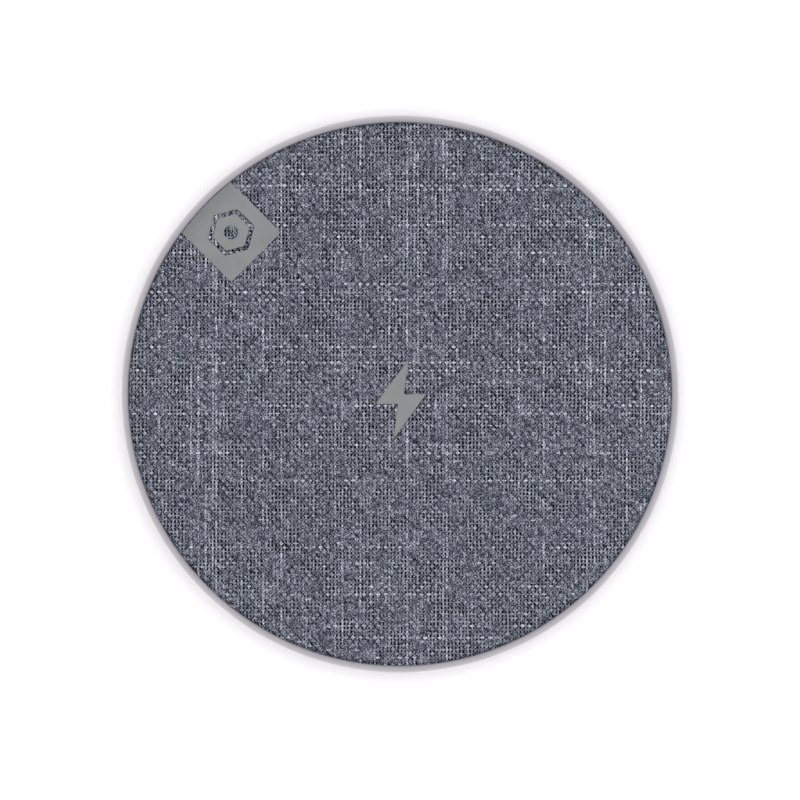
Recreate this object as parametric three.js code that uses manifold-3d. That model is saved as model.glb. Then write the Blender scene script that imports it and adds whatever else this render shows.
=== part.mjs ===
// A round wireless charging pad: an aluminium ring, closed by a cloth-covered top plate and a plastic base,
// around the charging coil and its circuit board.
// Millimetres, +Z up. The origin is the centre of the underside, level with the foot ring's lowest face.
// +Y is the back, with the power receptacle. -Y is the front, with the status light.

import * as THREE from "three";
import { mergeVertices } from "three/addons/utils/BufferGeometryUtils.js";
import Module from "manifold-3d";

const wasm = await Module();
wasm.setup();

// ---------------------------------------------------------------- driving dimensions

const PAD_RADIUS = 60;
const PAD_HEIGHT = 10.6;
const FIT_GAP = 0.05; // between two pieces that meet
const SOLDER_GAP = 0.03; // between the board and what sits on it
const ROUND_SIDES = 72; // facets round the large turned pieces
const INNER_SIDES = 36; // facets round the turned pieces inside
const SMALL_SIDES = 16; // facets round posts, screws and holes

// The ring's outer outline: a straight band between two convex bevels.
const FOOT_PROUD = 0.3;
const CLOTH_PROUD = 0.5;
const BEVEL_HEIGHT = 1.15;
const TOP_BEVEL_INSET = 1.55;
const BOTTOM_BEVEL_INSET = 1.05;
const BEVEL_FULLNESS = 0.85; // how far the bevel's arc leans towards its square corner
const RING_BOTTOM = FOOT_PROUD;
const RING_TOP = PAD_HEIGHT - CLOTH_PROUD;
const BAND_BOTTOM = RING_BOTTOM + BEVEL_HEIGHT;
const BAND_TOP = RING_TOP - BEVEL_HEIGHT;
const BAND_MIDDLE = (BAND_BOTTOM + BAND_TOP) / 2;

// The ring's inside: a lip round the cloth, a ledge under the top plate, and a seat for the base.
const LIP_RADIUS = 58.3;
const LEDGE_RADIUS = 56;
const LEDGE_TOP = 8;
const LEDGE_THICKNESS = 0.9;
const WALL_RADIUS = 57.8;
const BASE_SEAT_RADIUS = 58.25;

// Cloth and top plate.
const CLOTH_RADIUS = 58.2;
const CLOTH_THICKNESS = 0.7;
const CLOTH_EDGE = 0.35; // height and width of the turned edge
const SKIRT_THICKNESS = 0.4;
const SKIRT_BOTTOM = 8.3;
const CLOTH_BOTTOM = PAD_HEIGHT - CLOTH_THICKNESS;
const ADHESIVE_THICKNESS = 0.1;
const ADHESIVE_RADIUS = 57.4;
const PLATE_RADIUS = 57.7;
const PLATE_BOTTOM = LEDGE_TOP + FIT_GAP;
const PLATE_TOP = CLOTH_BOTTOM - ADHESIVE_THICKNESS - FIT_GAP;

// Label tab and charge mark, both let into the cloth.
const TAB_ANGLE = THREE.MathUtils.degToRad(135);
const TAB_WIDTH = 15.1;
const TAB_SHIFT = 1.1; // its middle line passes this far from the pad's axis
const TAB_INNER_RADIUS = 42.5;
const TAB_CORNER = 0.7;
const TAB_EDGE_RADIUS = 58.1;
const TAB_MARK_RADIUS = 50.1; // centre of the mark, out from the pad's axis
const TAB_MARK_REACH = 5.2; // from its centre to each corner of the hexagon
const TAB_MARK_STROKE = 1.1;
const TAB_MARK_DOT = 1.5;
const TAB_MARK_DEPTH = 0.35;
const CHARGE_MARK_HEIGHT = 17;
const CHARGE_MARK_WIDTH = 10.8;
const CHARGE_MARK_DEPTH = 0.35;
const CHARGE_MARK_CENTRE = [0.2, -1.1];

// Base, foot ring and screws.
const BASE_RADIUS = 58.2;
const BASE_THICKNESS = 1.4;
const BASE_TOP = RING_BOTTOM + BASE_THICKNESS;
const FOOT_INNER_RADIUS = 40;
const FOOT_OUTER_RADIUS = 51;
const FOOT_RECESS = 0.6;
const FOOT_EDGE = 0.15;
const SCREW_RADIUS = (FOOT_INNER_RADIUS + FOOT_OUTER_RADIUS) / 2; // of the circle that the screws stand on
const SCREW_ANGLES = [45, 135, 225, 315].map(THREE.MathUtils.degToRad);
const SCREW_SHANK = 1;
const SCREW_HEAD = 1.85;
const SCREW_HEAD_BOTTOM = 0.95;
const SCREW_TOP = 7.4;
const SCREW_SOCKET = 0.6;
const SCREW_SOCKET_DEPTH = 0.5;
const PILOT_RADIUS = 1.05;
const PILOT_TOP = 7.8;
const CLEARANCE_RADIUS = 1.15;
const BOSS_RADIUS = 2.5;
const BOSS_TOP = 4.6;
const POST_RADIUS = 2.4;
const RIB_WIDTH = 1;

// Power receptacle, standing in the middle of the band's height.
const SHELL_WIDTH = 8.94;
const SHELL_HEIGHT = 3.26;
const SHELL_OPENING_WIDTH = 8.34;
const SHELL_OPENING_HEIGHT = 2.56;
const SHELL_FRONT = PAD_RADIUS - 0.4;
const SHELL_BACK = SHELL_FRONT - 7.3;
const SHELL_CLEARANCE = 0.1;
const TONGUE_WIDTH = 6.69;
const TONGUE_THICKNESS = 0.7;
const TONGUE_FRONT = SHELL_FRONT - 0.7;
const TONGUE_BLOCK_FRONT = SHELL_BACK + 2;

// Status light.
const WINDOW_WIDTH = 7.1;
const WINDOW_HEIGHT = 1.65;
const GUIDE_CLEARANCE = 0.1;
const GUIDE_FRONT = PAD_RADIUS - 0.15;
const GUIDE_BLOCK_FRONT = 57.3;
const GUIDE_BLOCK_BACK = 56.2;
const GUIDE_BLOCK_WIDTH = 8;
const GUIDE_BLOCK_TOP = 6.2;
const LED_SIZE = [3, 1.2, 1];
const LED_RADIUS = 55.2;

// Circuit board.
const BOARD_TOP = BAND_MIDDLE - SHELL_HEIGHT / 2 - SOLDER_GAP;
const BOARD_THICKNESS = 1.6;
const BOARD_BOTTOM = BOARD_TOP - BOARD_THICKNESS;
const BOARD_INNER_RADIUS = 33;
const BOARD_OUTER_RADIUS = 55.9;
const BOARD_HOLE_RADIUS = 3;
const RIB_INNER_RADII = [34, 53.5];

// Coil stack, from the base up.
const FOAM_RADIUS = 25;
const FERRITE_RADIUS = 26;
const FERRITE_BOTTOM = 4.1;
const FERRITE_TOP = 6.1;
const FERRITE_SLOT_START = 4.8;
const FERRITE_SLOT_WIDTH = 4.4;
const COIL_INNER_RADIUS = 10.25;
const COIL_OUTER_RADIUS = 22;
const COIL_BOTTOM = 6.15;
const COIL_TOP = 7.85;
const TAPE_INNER_RADIUS = 9.5;
const TAPE_OUTER_RADIUS = 23;
const TAPE_BOTTOM = COIL_TOP + FIT_GAP;
const TAPE_TOP = PLATE_BOTTOM - FIT_GAP;
const LEAD_RADIUS = 0.55;
const SENSOR_LEAD_RADIUS = 0.2;
const WIRE_SIDES = 8;
const WIRE_STEPS = 20;

// The routes of the four wires, from the coil or the sensor out to the board.
const COIL_LEAD_END = BOARD_TOP + LEAD_RADIUS + 2 * SOLDER_GAP;
const INNER_LEAD_ROUTE = [
  [8.95, -3.3, 6.95],
  [8.1, -1.9, 6.5],
  [8, -0.9, 5.6],
  [10.5, -0.9, 5.1],
  [18, -0.9, 5.1],
  [27, -0.9, 5.1],
  [32, -0.9, 4.7],
  [36.5, -0.9, COIL_LEAD_END],
];
const OUTER_LEAD_ROUTE = [
  [16.1, -16.1, 7],
  [19.8, -11.45, 7],
  [23.3, -7.6, 6.95],
  [26.6, -5.8, 6.8],
  [29.5, -4.8, 5.8],
  [32.5, -4.2, 4.7],
  [36.5, -3.9, COIL_LEAD_END],
];
const SENSOR_LEAD_ROUTE = [
  [1.1, 0.35, 7.3],
  [4.2, 0.6, 6.8],
  [6.8, 0.7, 5.7],
  [10, 0.7, 4.9],
  [18, 0.7, 4.8],
  [27, 0.9, 4.8],
  [32, 2.2, 4.5],
  [37, 2.9, 4.35],
];
const SENSOR_LEAD_SPACING = 0.6;
const SENSOR_RADIUS = 0.9;
const SENSOR_BOTTOM = 6.9;
const SENSOR_TOP = 7.9;
const SENSOR_PLUG_SIZE = [3, 3.4, 1.7];
const SENSOR_PLUG_CENTRE = [38.8, 3.2];

// Components on the board: body size, then the radius and the angle in degrees where each one sits.
const BOARD_PARTS = [
  { name: "controller_chip", size: [5, 5, 0.85], radius: 44.5, angle: 65, look: "chip" },
  { name: "crystal", size: [3.2, 2.5, 0.8], radius: 41, angle: 78, look: "steel" },
  { name: "input_capacitor_1", size: [2.5, 3.2, 2], radius: 46, angle: 101, look: "ceramic" },
  { name: "input_capacitor_2", size: [2.5, 3.2, 2], radius: 46, angle: 108, look: "ceramic" },
  { name: "sense_resistor", size: [6.3, 3.2, 0.6], radius: 41, angle: 121, look: "chip" },
  { name: "power_inductor", size: [8, 8, 3.8], radius: 44.5, angle: 160, look: "ferrite" },
  { name: "driver_chip", size: [4, 4, 0.85], radius: 44, angle: 180, look: "chip" },
  { name: "mosfet_1", size: [3.3, 3.3, 0.9], radius: 40.5, angle: 194, look: "chip" },
  { name: "mosfet_2", size: [3.3, 3.3, 0.9], radius: 47.5, angle: 194, look: "chip" },
  { name: "mosfet_3", size: [3.3, 3.3, 0.9], radius: 40.5, angle: 203, look: "chip" },
  { name: "mosfet_4", size: [3.3, 3.3, 0.9], radius: 47.5, angle: 203, look: "chip" },
  { name: "resonant_capacitor_1", size: [4.3, 7.3, 2.8], radius: 43.5, angle: 246, look: "film" },
  { name: "resonant_capacitor_2", size: [4.3, 7.3, 2.8], radius: 43.5, angle: 257, look: "film" },
  { name: "resonant_capacitor_3", size: [4.3, 7.3, 2.8], radius: 43.5, angle: 283, look: "film" },
  { name: "resonant_capacitor_4", size: [4.3, 7.3, 2.8], radius: 43.5, angle: 294, look: "film" },
];

// ---------------------------------------------------------------- finishes

const FINISHES = {
  aluminium: { color: 0xb4b1b6, roughness: 0.32, metalness: 1 },
  cloth: { color: 0x5f6475, roughness: 0.95, metalness: 0 },
  label: { color: 0x8d908f, roughness: 0.6, metalness: 0 },
  adhesive: { color: 0xd9d4c4, roughness: 0.7, metalness: 0 },
  housing_plastic: { color: 0x3a3c41, roughness: 0.6, metalness: 0 },
  silicone: { color: 0x4a4d53, roughness: 0.85, metalness: 0 },
  steel: { color: 0xc4c6ca, roughness: 0.3, metalness: 1 },
  tongue: { color: 0x17181b, roughness: 0.5, metalness: 0 },
  window: { color: 0x1f3c96, roughness: 0.2, metalness: 0 },
  led: { color: 0xf1e7c4, roughness: 0.4, metalness: 0 },
  board: { color: 0x12462b, roughness: 0.45, metalness: 0 },
  chip: { color: 0x1b1c1f, roughness: 0.6, metalness: 0 },
  ceramic: { color: 0xa88a62, roughness: 0.5, metalness: 0 },
  film: { color: 0x7c2f22, roughness: 0.35, metalness: 0 },
  ferrite: { color: 0x2f2f33, roughness: 0.7, metalness: 0 },
  copper: { color: 0xb5652f, roughness: 0.4, metalness: 1 },
  tape: { color: 0xc98a1e, roughness: 0.3, metalness: 0 },
  foam: { color: 0x26272a, roughness: 1, metalness: 0 },
  wire: { color: 0xe6e3da, roughness: 0.5, metalness: 0 },
};

// ---------------------------------------------------------------- geometry helpers

function signedVolume(positions, triangles) {
  let volume = 0;
  const corners = [new THREE.Vector3(), new THREE.Vector3(), new THREE.Vector3()];
  for (let start = 0; start < triangles.length; start += 3) {
    corners.forEach((corner, which) => corner.fromBufferAttribute(positions, triangles[start + which]));
    volume += corners[0].dot(corners[1].cross(corners[2])) / 6;
  }
  return volume;
}

// Welds a geometry's vertices, drops triangles that have collapsed to a line, and turns its faces outwards.
function closed(geometry) {
  const bare = geometry.clone();
  bare.deleteAttribute("normal");
  bare.deleteAttribute("uv");
  const welded = mergeVertices(bare);
  const corners = welded.getIndex().array;
  const triangles = [];
  for (let start = 0; start < corners.length; start += 3) {
    const [a, b, c] = corners.slice(start, start + 3);
    if (a !== b && b !== c && c !== a) {
      triangles.push(a, b, c);
    }
  }
  if (signedVolume(welded.getAttribute("position"), triangles) < 0) {
    triangles.reverse();
  }
  welded.setIndex(triangles);
  welded.computeVertexNormals();
  return welded;
}

function toManifold(geometry) {
  const source = closed(geometry);
  const vertProperties = new Float32Array(source.getAttribute("position").array);
  const triVerts = new Uint32Array(source.getIndex().array);
  return new wasm.Manifold(new wasm.Mesh({ numProp: 3, vertProperties, triVerts }));
}

function fromManifold(manifold) {
  const mesh = manifold.getMesh();
  const geometry = new THREE.BufferGeometry();
  geometry.setAttribute("position", new THREE.BufferAttribute(mesh.vertProperties, 3));
  geometry.setIndex(new THREE.BufferAttribute(mesh.triVerts, 1));
  geometry.computeVertexNormals();
  return geometry;
}

function cut(whole, ...tools) {
  const start = toManifold(whole);
  return fromManifold(tools.reduce((left, tool) => left.subtract(toManifold(tool)), start));
}

function join(...pieces) {
  return fromManifold(pieces.map(toManifold).reduce((left, right) => left.add(right)));
}

// Spins a closed outline of [radius, height] points about Z.
function turned(outline, sides = ROUND_SIDES) {
  const points = outline.map(([radius, height]) => new THREE.Vector2(radius, height));
  points.push(points[0].clone());
  return closed(new THREE.LatheGeometry(points, sides).rotateX(Math.PI / 2));
}

function disc(radius, low, high, sides) {
  return turned([[0, low], [radius, low], [radius, high], [0, high]], sides);
}

function annulus(inner, outer, low, high, sides) {
  return turned([[inner, low], [outer, low], [outer, high], [inner, high]], sides);
}

// A prism of an outline seen from above.
function upright(shape, low, high, curveSegments = 4) {
  const options = { depth: high - low, bevelEnabled: false, curveSegments };
  return closed(new THREE.ExtrudeGeometry(shape, options).translate(0, 0, low));
}

// A prism of an outline seen along Y, with the outline's own centre at the given height.
function alongY(shape, nearY, farY, height, curveSegments = 4) {
  const options = { depth: farY - nearY, bevelEnabled: false, curveSegments };
  const prism = new THREE.ExtrudeGeometry(shape, options).rotateX(Math.PI / 2);
  return closed(prism.translate(0, farY, height));
}

function block(low, high) {
  const size = high.map((value, axis) => value - low[axis]);
  const middle = high.map((value, axis) => (value + low[axis]) / 2);
  return closed(new THREE.BoxGeometry(...size).translate(...middle));
}

function polygon(points) {
  return new THREE.Shape(points.map(([x, y]) => new THREE.Vector2(x, y)));
}

function regularPolygon(radius, sides) {
  const angles = Array.from({ length: sides }, (_, index) => (2 * Math.PI * index) / sides);
  return polygon(angles.map((angle) => [radius * Math.cos(angle), radius * Math.sin(angle)]));
}

// A slot with round ends.
function pill(width, height) {
  const radius = height / 2;
  const reach = width / 2 - radius;
  const shape = new THREE.Shape();
  shape.absarc(reach, 0, radius, -Math.PI / 2, Math.PI / 2, false);
  shape.absarc(-reach, 0, radius, Math.PI / 2, (3 * Math.PI) / 2, false);
  return shape;
}

function roundedRectangle(width, height, corner) {
  const x = width / 2 - corner;
  const y = height / 2 - corner;
  const quarter = Math.PI / 2;
  const shape = new THREE.Shape();
  shape.absarc(x, -y, corner, -quarter, 0, false);
  shape.absarc(x, y, corner, 0, quarter, false);
  shape.absarc(-x, y, corner, quarter, 2 * quarter, false);
  shape.absarc(-x, -y, corner, 2 * quarter, 3 * quarter, false);
  return shape;
}

// A moulded body that stands on z = 0, with rounded corners and chamfered edges.
function moulded([width, depth, height]) {
  const edge = 0.12 * Math.min(width, depth, height);
  const corner = 0.08 * Math.min(width, depth);
  const outline = roundedRectangle(width - 2 * edge, depth - 2 * edge, corner);
  const options = {
    depth: height - 2 * edge,
    bevelThickness: edge,
    bevelSize: edge,
    bevelSegments: 1,
    curveSegments: 1,
  };
  return closed(new THREE.ExtrudeGeometry(outline, options).translate(0, 0, edge));
}

function wire(route, radius) {
  const path = new THREE.CatmullRomCurve3(route.map((point) => new THREE.Vector3(...point)));
  const options = { steps: WIRE_STEPS, extrudePath: path };
  return closed(new THREE.ExtrudeGeometry(regularPolygon(radius, WIRE_SIDES), options));
}

function aroundScrews(make) {
  return SCREW_ANGLES.map((angle) => {
    const x = SCREW_RADIUS * Math.cos(angle);
    const y = SCREW_RADIUS * Math.sin(angle);
    return make().translate(x, y, 0);
  });
}

function piece(name, geometry, finish) {
  const mesh = new THREE.Mesh(geometry, new THREE.MeshStandardMaterial(FINISHES[finish]));
  mesh.name = name;
  return mesh;
}

// ---------------------------------------------------------------- housing ring

// The points of a convex bevel from one [radius, height] corner to another, bulging towards a third.
function bevelPoints(from, towards, to, steps) {
  const middle = from.map((value, axis) => (value + to[axis]) / 2);
  const control = middle.map((value, axis) => value + BEVEL_FULLNESS * (towards[axis] - value));
  const curve = new THREE.QuadraticBezierCurve(
    new THREE.Vector2(...from),
    new THREE.Vector2(...control),
    new THREE.Vector2(...to),
  );
  return curve.getPoints(steps).map((point) => [point.x, point.y]);
}

function housingRing() {
  const topRadius = PAD_RADIUS - TOP_BEVEL_INSET;
  const bottomRadius = PAD_RADIUS - BOTTOM_BEVEL_INSET;
  const ledgeBottom = LEDGE_TOP - LEDGE_THICKNESS;
  const ring = turned([
    ...bevelPoints([bottomRadius, RING_BOTTOM], [PAD_RADIUS, RING_BOTTOM], [PAD_RADIUS, BAND_BOTTOM], 3),
    ...bevelPoints([PAD_RADIUS, BAND_TOP], [PAD_RADIUS, RING_TOP], [topRadius, RING_TOP], 4),
    [LIP_RADIUS, RING_TOP],
    [LIP_RADIUS, LEDGE_TOP],
    [LEDGE_RADIUS, LEDGE_TOP],
    [LEDGE_RADIUS, ledgeBottom],
    [WALL_RADIUS, ledgeBottom],
    [WALL_RADIUS, BASE_TOP + FIT_GAP],
    [BASE_SEAT_RADIUS, BASE_TOP + FIT_GAP],
    [BASE_SEAT_RADIUS, RING_BOTTOM],
  ]);
  const port = pill(SHELL_WIDTH + 2 * SHELL_CLEARANCE, SHELL_HEIGHT + 2 * SHELL_CLEARANCE);
  const portCut = alongY(port, LEDGE_RADIUS, PAD_RADIUS + 1, BAND_MIDDLE);
  const windowCut = alongY(pill(WINDOW_WIDTH, WINDOW_HEIGHT), -PAD_RADIUS - 1, -LEDGE_RADIUS, BAND_MIDDLE);
  return piece("housing_ring", cut(ring, portCut, windowCut), "aluminium");
}

// ---------------------------------------------------------------- cloth, tab and mark

// The tab's outline with its inner end near the axis, grown by a margin, pointing along +X.
function tabOutline(margin, outerRadius) {
  const left = TAB_SHIFT + TAB_WIDTH / 2 + margin;
  const right = TAB_SHIFT - TAB_WIDTH / 2 - margin;
  const inner = TAB_INNER_RADIUS - margin;
  const corner = TAB_CORNER;
  const shape = new THREE.Shape();
  shape.moveTo(outerRadius, right);
  shape.lineTo(outerRadius, left);
  shape.absarc(inner + corner, left - corner, corner, Math.PI / 2, Math.PI, false);
  shape.absarc(inner + corner, right + corner, corner, Math.PI, (3 * Math.PI) / 2, false);
  return shape;
}

// A plain lightning bolt: two slanted strokes that meet in the middle, grown by a margin.
function boltOutline(margin) {
  const x = CHARGE_MARK_WIDTH / 2 + margin;
  const y = CHARGE_MARK_HEIGHT / 2 + margin;
  return polygon([
    [0.3 * x, y],
    [-x, -0.12 * y],
    [-0.12 * x, -0.12 * y],
    [-0.3 * x, -y],
    [x, 0.12 * y],
    [0.12 * x, 0.12 * y],
  ]);
}

function clothCover() {
  const sheet = turned([
    [0, CLOTH_BOTTOM],
    [CLOTH_RADIUS - SKIRT_THICKNESS, CLOTH_BOTTOM],
    [CLOTH_RADIUS - SKIRT_THICKNESS, SKIRT_BOTTOM],
    [CLOTH_RADIUS, SKIRT_BOTTOM],
    [CLOTH_RADIUS, PAD_HEIGHT - CLOTH_EDGE],
    [CLOTH_RADIUS - CLOTH_EDGE, PAD_HEIGHT],
    [0, PAD_HEIGHT],
  ]);
  const tabCut = upright(tabOutline(FIT_GAP, PAD_RADIUS), CLOTH_BOTTOM, PAD_HEIGHT + 1);
  const markCut = upright(boltOutline(FIT_GAP), PAD_HEIGHT - CHARGE_MARK_DEPTH, PAD_HEIGHT + 1);
  tabCut.rotateZ(TAB_ANGLE);
  markCut.translate(...CHARGE_MARK_CENTRE, 0);
  return piece("fabric_cover", cut(sheet, tabCut, markCut), "cloth");
}

function labelTab() {
  const strip = upright(tabOutline(0, PAD_RADIUS), CLOTH_BOTTOM + FIT_GAP, PAD_HEIGHT);
  const beyond = annulus(TAB_EDGE_RADIUS, 2 * PAD_RADIUS, 0, 2 * PAD_HEIGHT);
  const engraved = [PAD_HEIGHT - TAB_MARK_DEPTH, PAD_HEIGHT + 1];
  const hexagon = upright(regularPolygon(TAB_MARK_REACH, 6), ...engraved);
  const island = upright(regularPolygon(TAB_MARK_REACH - TAB_MARK_STROKE, 6), 0, 2 * PAD_HEIGHT);
  const dot = upright(regularPolygon(TAB_MARK_DOT, SMALL_SIDES), ...engraved);
  const marks = [cut(hexagon, island), dot].map((mark) => mark.translate(TAB_MARK_RADIUS, TAB_SHIFT, 0));
  const tab = piece("label_tab", cut(strip, beyond, ...marks), "label");
  tab.rotation.z = TAB_ANGLE;
  return tab;
}

function chargeMark() {
  const low = PAD_HEIGHT - CHARGE_MARK_DEPTH + FIT_GAP;
  const mark = piece("charge_mark", upright(boltOutline(0), low, PAD_HEIGHT), "label");
  mark.position.set(...CHARGE_MARK_CENTRE, 0);
  return mark;
}

function topPlate() {
  const plate = disc(PLATE_RADIUS, PLATE_BOTTOM, PLATE_TOP);
  const postEnds = [BOSS_TOP + FIT_GAP, PLATE_BOTTOM + FIT_GAP];
  const posts = aroundScrews(() => disc(POST_RADIUS, ...postEnds, SMALL_SIDES));
  const pilots = aroundScrews(() => disc(PILOT_RADIUS, 0, PILOT_TOP, SMALL_SIDES));
  return piece("top_plate", cut(join(plate, ...posts), ...pilots), "housing_plastic");
}

function topGroup() {
  const sheet = disc(ADHESIVE_RADIUS, PLATE_TOP + FIT_GAP / 2, CLOTH_BOTTOM - FIT_GAP / 2, INNER_SIDES);
  const adhesive = piece("fabric_adhesive", sheet, "adhesive");
  const group = new THREE.Group();
  group.add(clothCover(), labelTab(), chargeMark(), adhesive, topPlate());
  return group;
}

// ---------------------------------------------------------------- base, foot ring and screws

function baseCover() {
  const recessTop = RING_BOTTOM + FOOT_RECESS;
  const plate = turned([
    [0, RING_BOTTOM],
    [FOOT_INNER_RADIUS, RING_BOTTOM],
    [FOOT_INNER_RADIUS, recessTop],
    [FOOT_OUTER_RADIUS, recessTop],
    [FOOT_OUTER_RADIUS, RING_BOTTOM],
    [BASE_RADIUS, RING_BOTTOM],
    [BASE_RADIUS, BASE_TOP],
    [0, BASE_TOP],
  ]);
  const ribTop = BOARD_BOTTOM - SOLDER_GAP;
  const ribs = RIB_INNER_RADII.map((inner) => annulus(inner, inner + RIB_WIDTH, BASE_TOP - FIT_GAP, ribTop));
  const bosses = aroundScrews(() => disc(BOSS_RADIUS, BASE_TOP - FIT_GAP, BOSS_TOP, SMALL_SIDES));
  const headSpace = SCREW_HEAD + FIT_GAP + SCREW_HEAD_BOTTOM - recessTop;
  const holes = aroundScrews(() =>
    turned(
      [
        [0, 0],
        [headSpace, 0],
        [headSpace, recessTop],
        [CLEARANCE_RADIUS, recessTop + headSpace - CLEARANCE_RADIUS],
        [CLEARANCE_RADIUS, BOSS_TOP + 1],
        [0, BOSS_TOP + 1],
      ],
      SMALL_SIDES,
    ),
  );
  return piece("base_cover", cut(join(plate, ...ribs, ...bosses), ...holes), "housing_plastic");
}

function footRing() {
  const inner = FOOT_INNER_RADIUS + FIT_GAP;
  const outer = FOOT_OUTER_RADIUS - FIT_GAP;
  const top = RING_BOTTOM + FOOT_RECESS - FIT_GAP;
  const ring = turned([
    [inner + FOOT_EDGE, 0],
    [outer - FOOT_EDGE, 0],
    [outer, FOOT_EDGE],
    [outer, top],
    [inner, top],
    [inner, FOOT_EDGE],
  ]);
  return piece("foot_ring", ring, "silicone");
}

function screws() {
  const headTop = SCREW_HEAD_BOTTOM + SCREW_HEAD - SCREW_SHANK;
  const blanks = aroundScrews(() =>
    turned(
      [
        [0, SCREW_HEAD_BOTTOM],
        [SCREW_HEAD, SCREW_HEAD_BOTTOM],
        [SCREW_SHANK, headTop],
        [SCREW_SHANK, SCREW_TOP - SCREW_SHANK / 2],
        [SCREW_SHANK / 2, SCREW_TOP],
        [0, SCREW_TOP],
      ],
      SMALL_SIDES,
    ),
  );
  const sockets = aroundScrews(() =>
    upright(regularPolygon(SCREW_SOCKET, 6), 0, SCREW_HEAD_BOTTOM + SCREW_SOCKET_DEPTH),
  );
  return blanks.map((blank, index) => piece(`screw_${index + 1}`, cut(blank, sockets[index]), "steel"));
}

function baseGroup() {
  const group = new THREE.Group();
  group.add(baseCover(), footRing(), ...screws());
  return group;
}

// ---------------------------------------------------------------- circuit board

function circuitBoard() {
  const blank = annulus(BOARD_INNER_RADIUS, BOARD_OUTER_RADIUS, BOARD_BOTTOM, BOARD_TOP);
  const holes = aroundScrews(() => disc(BOARD_HOLE_RADIUS, 0, PAD_HEIGHT, SMALL_SIDES));
  return piece("circuit_board", cut(blank, ...holes), "board");
}

function receptacleShell() {
  const tube = alongY(pill(SHELL_WIDTH, SHELL_HEIGHT), SHELL_BACK, SHELL_FRONT, BAND_MIDDLE);
  const opening = pill(SHELL_OPENING_WIDTH, SHELL_OPENING_HEIGHT);
  const bore = alongY(opening, SHELL_BACK - 1, SHELL_FRONT + 1, BAND_MIDDLE);
  return piece("port_shell", cut(tube, bore), "steel");
}

function receptacleTongue() {
  const margin = 2 * FIT_GAP;
  const outline = pill(SHELL_OPENING_WIDTH - margin, SHELL_OPENING_HEIGHT - margin);
  const rear = alongY(outline, SHELL_BACK + margin, TONGUE_BLOCK_FRONT, BAND_MIDDLE);
  const tongue = block(
    [-TONGUE_WIDTH / 2, TONGUE_BLOCK_FRONT - margin, BAND_MIDDLE - TONGUE_THICKNESS / 2],
    [TONGUE_WIDTH / 2, TONGUE_FRONT, BAND_MIDDLE + TONGUE_THICKNESS / 2],
  );
  return piece("port_tongue", join(rear, tongue), "tongue");
}

function lightGuide() {
  const face = pill(WINDOW_WIDTH - 2 * GUIDE_CLEARANCE, WINDOW_HEIGHT - 2 * GUIDE_CLEARANCE);
  const nose = alongY(face, -GUIDE_FRONT, -GUIDE_BLOCK_FRONT + FIT_GAP, BAND_MIDDLE);
  const foot = block(
    [-GUIDE_BLOCK_WIDTH / 2, -GUIDE_BLOCK_FRONT, BOARD_TOP],
    [GUIDE_BLOCK_WIDTH / 2, -GUIDE_BLOCK_BACK, GUIDE_BLOCK_TOP],
  );
  return piece("light_guide", join(nose, foot), "window");
}

function ledChip() {
  const chip = piece("led_chip", moulded(LED_SIZE), "led");
  chip.position.set(0, -LED_RADIUS, BOARD_TOP + SOLDER_GAP);
  return chip;
}

function boardParts() {
  return BOARD_PARTS.map(({ name, size, radius, angle, look }) => {
    const part = piece(name, moulded(size), look);
    const bearing = THREE.MathUtils.degToRad(angle);
    part.position.set(radius * Math.cos(bearing), radius * Math.sin(bearing), BOARD_TOP + SOLDER_GAP);
    part.rotation.z = bearing - Math.PI / 2;
    return part;
  });
}

function boardGroup() {
  const group = new THREE.Group();
  group.add(circuitBoard(), receptacleShell(), receptacleTongue(), lightGuide(), ledChip(), ...boardParts());
  return group;
}

// ---------------------------------------------------------------- coil stack

function ferritePlate() {
  const half = FERRITE_SLOT_WIDTH / 2;
  const slot = block([FERRITE_SLOT_START, -half, 0], [PAD_RADIUS, half, PAD_HEIGHT]);
  const plate = disc(FERRITE_RADIUS, FERRITE_BOTTOM, FERRITE_TOP, INNER_SIDES);
  return piece("ferrite_plate", cut(plate, slot), "ferrite");
}

function sensorPieces() {
  const bead = disc(SENSOR_RADIUS, SENSOR_BOTTOM, SENSOR_TOP, SMALL_SIDES);
  const plug = piece("thermistor_plug", moulded(SENSOR_PLUG_SIZE), "wire");
  plug.position.set(...SENSOR_PLUG_CENTRE, BOARD_TOP + SOLDER_GAP);
  const leads = [0, 1].map((index) => {
    const lead = piece(`thermistor_lead_${index + 1}`, wire(SENSOR_LEAD_ROUTE, SENSOR_LEAD_RADIUS), "wire");
    lead.position.y = index * SENSOR_LEAD_SPACING;
    return lead;
  });
  return [piece("thermistor", bead, "chip"), ...leads, plug];
}

function coilGroup() {
  const winding = annulus(COIL_INNER_RADIUS, COIL_OUTER_RADIUS, COIL_BOTTOM, COIL_TOP, INNER_SIDES);
  const foam = disc(FOAM_RADIUS, BASE_TOP + FIT_GAP, FERRITE_BOTTOM - FIT_GAP, INNER_SIDES);
  const tape = annulus(TAPE_INNER_RADIUS, TAPE_OUTER_RADIUS, TAPE_BOTTOM, TAPE_TOP, INNER_SIDES);
  const group = new THREE.Group();
  group.add(
    piece("coil_winding", winding, "copper"),
    piece("coil_lead_inner", wire(INNER_LEAD_ROUTE, LEAD_RADIUS), "copper"),
    piece("coil_lead_outer", wire(OUTER_LEAD_ROUTE, LEAD_RADIUS), "copper"),
    ferritePlate(),
    piece("coil_tape", tape, "tape"),
    piece("foam_spacer", foam, "foam"),
    ...sensorPieces(),
  );
  return group;
}

// ---------------------------------------------------------------- the whole pad

const chargingPad = new THREE.Group();
chargingPad.add(housingRing(), topGroup(), baseGroup(), boardGroup(), coilGroup());

export default chargingPad;
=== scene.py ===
import math
from contextlib import contextmanager

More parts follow.
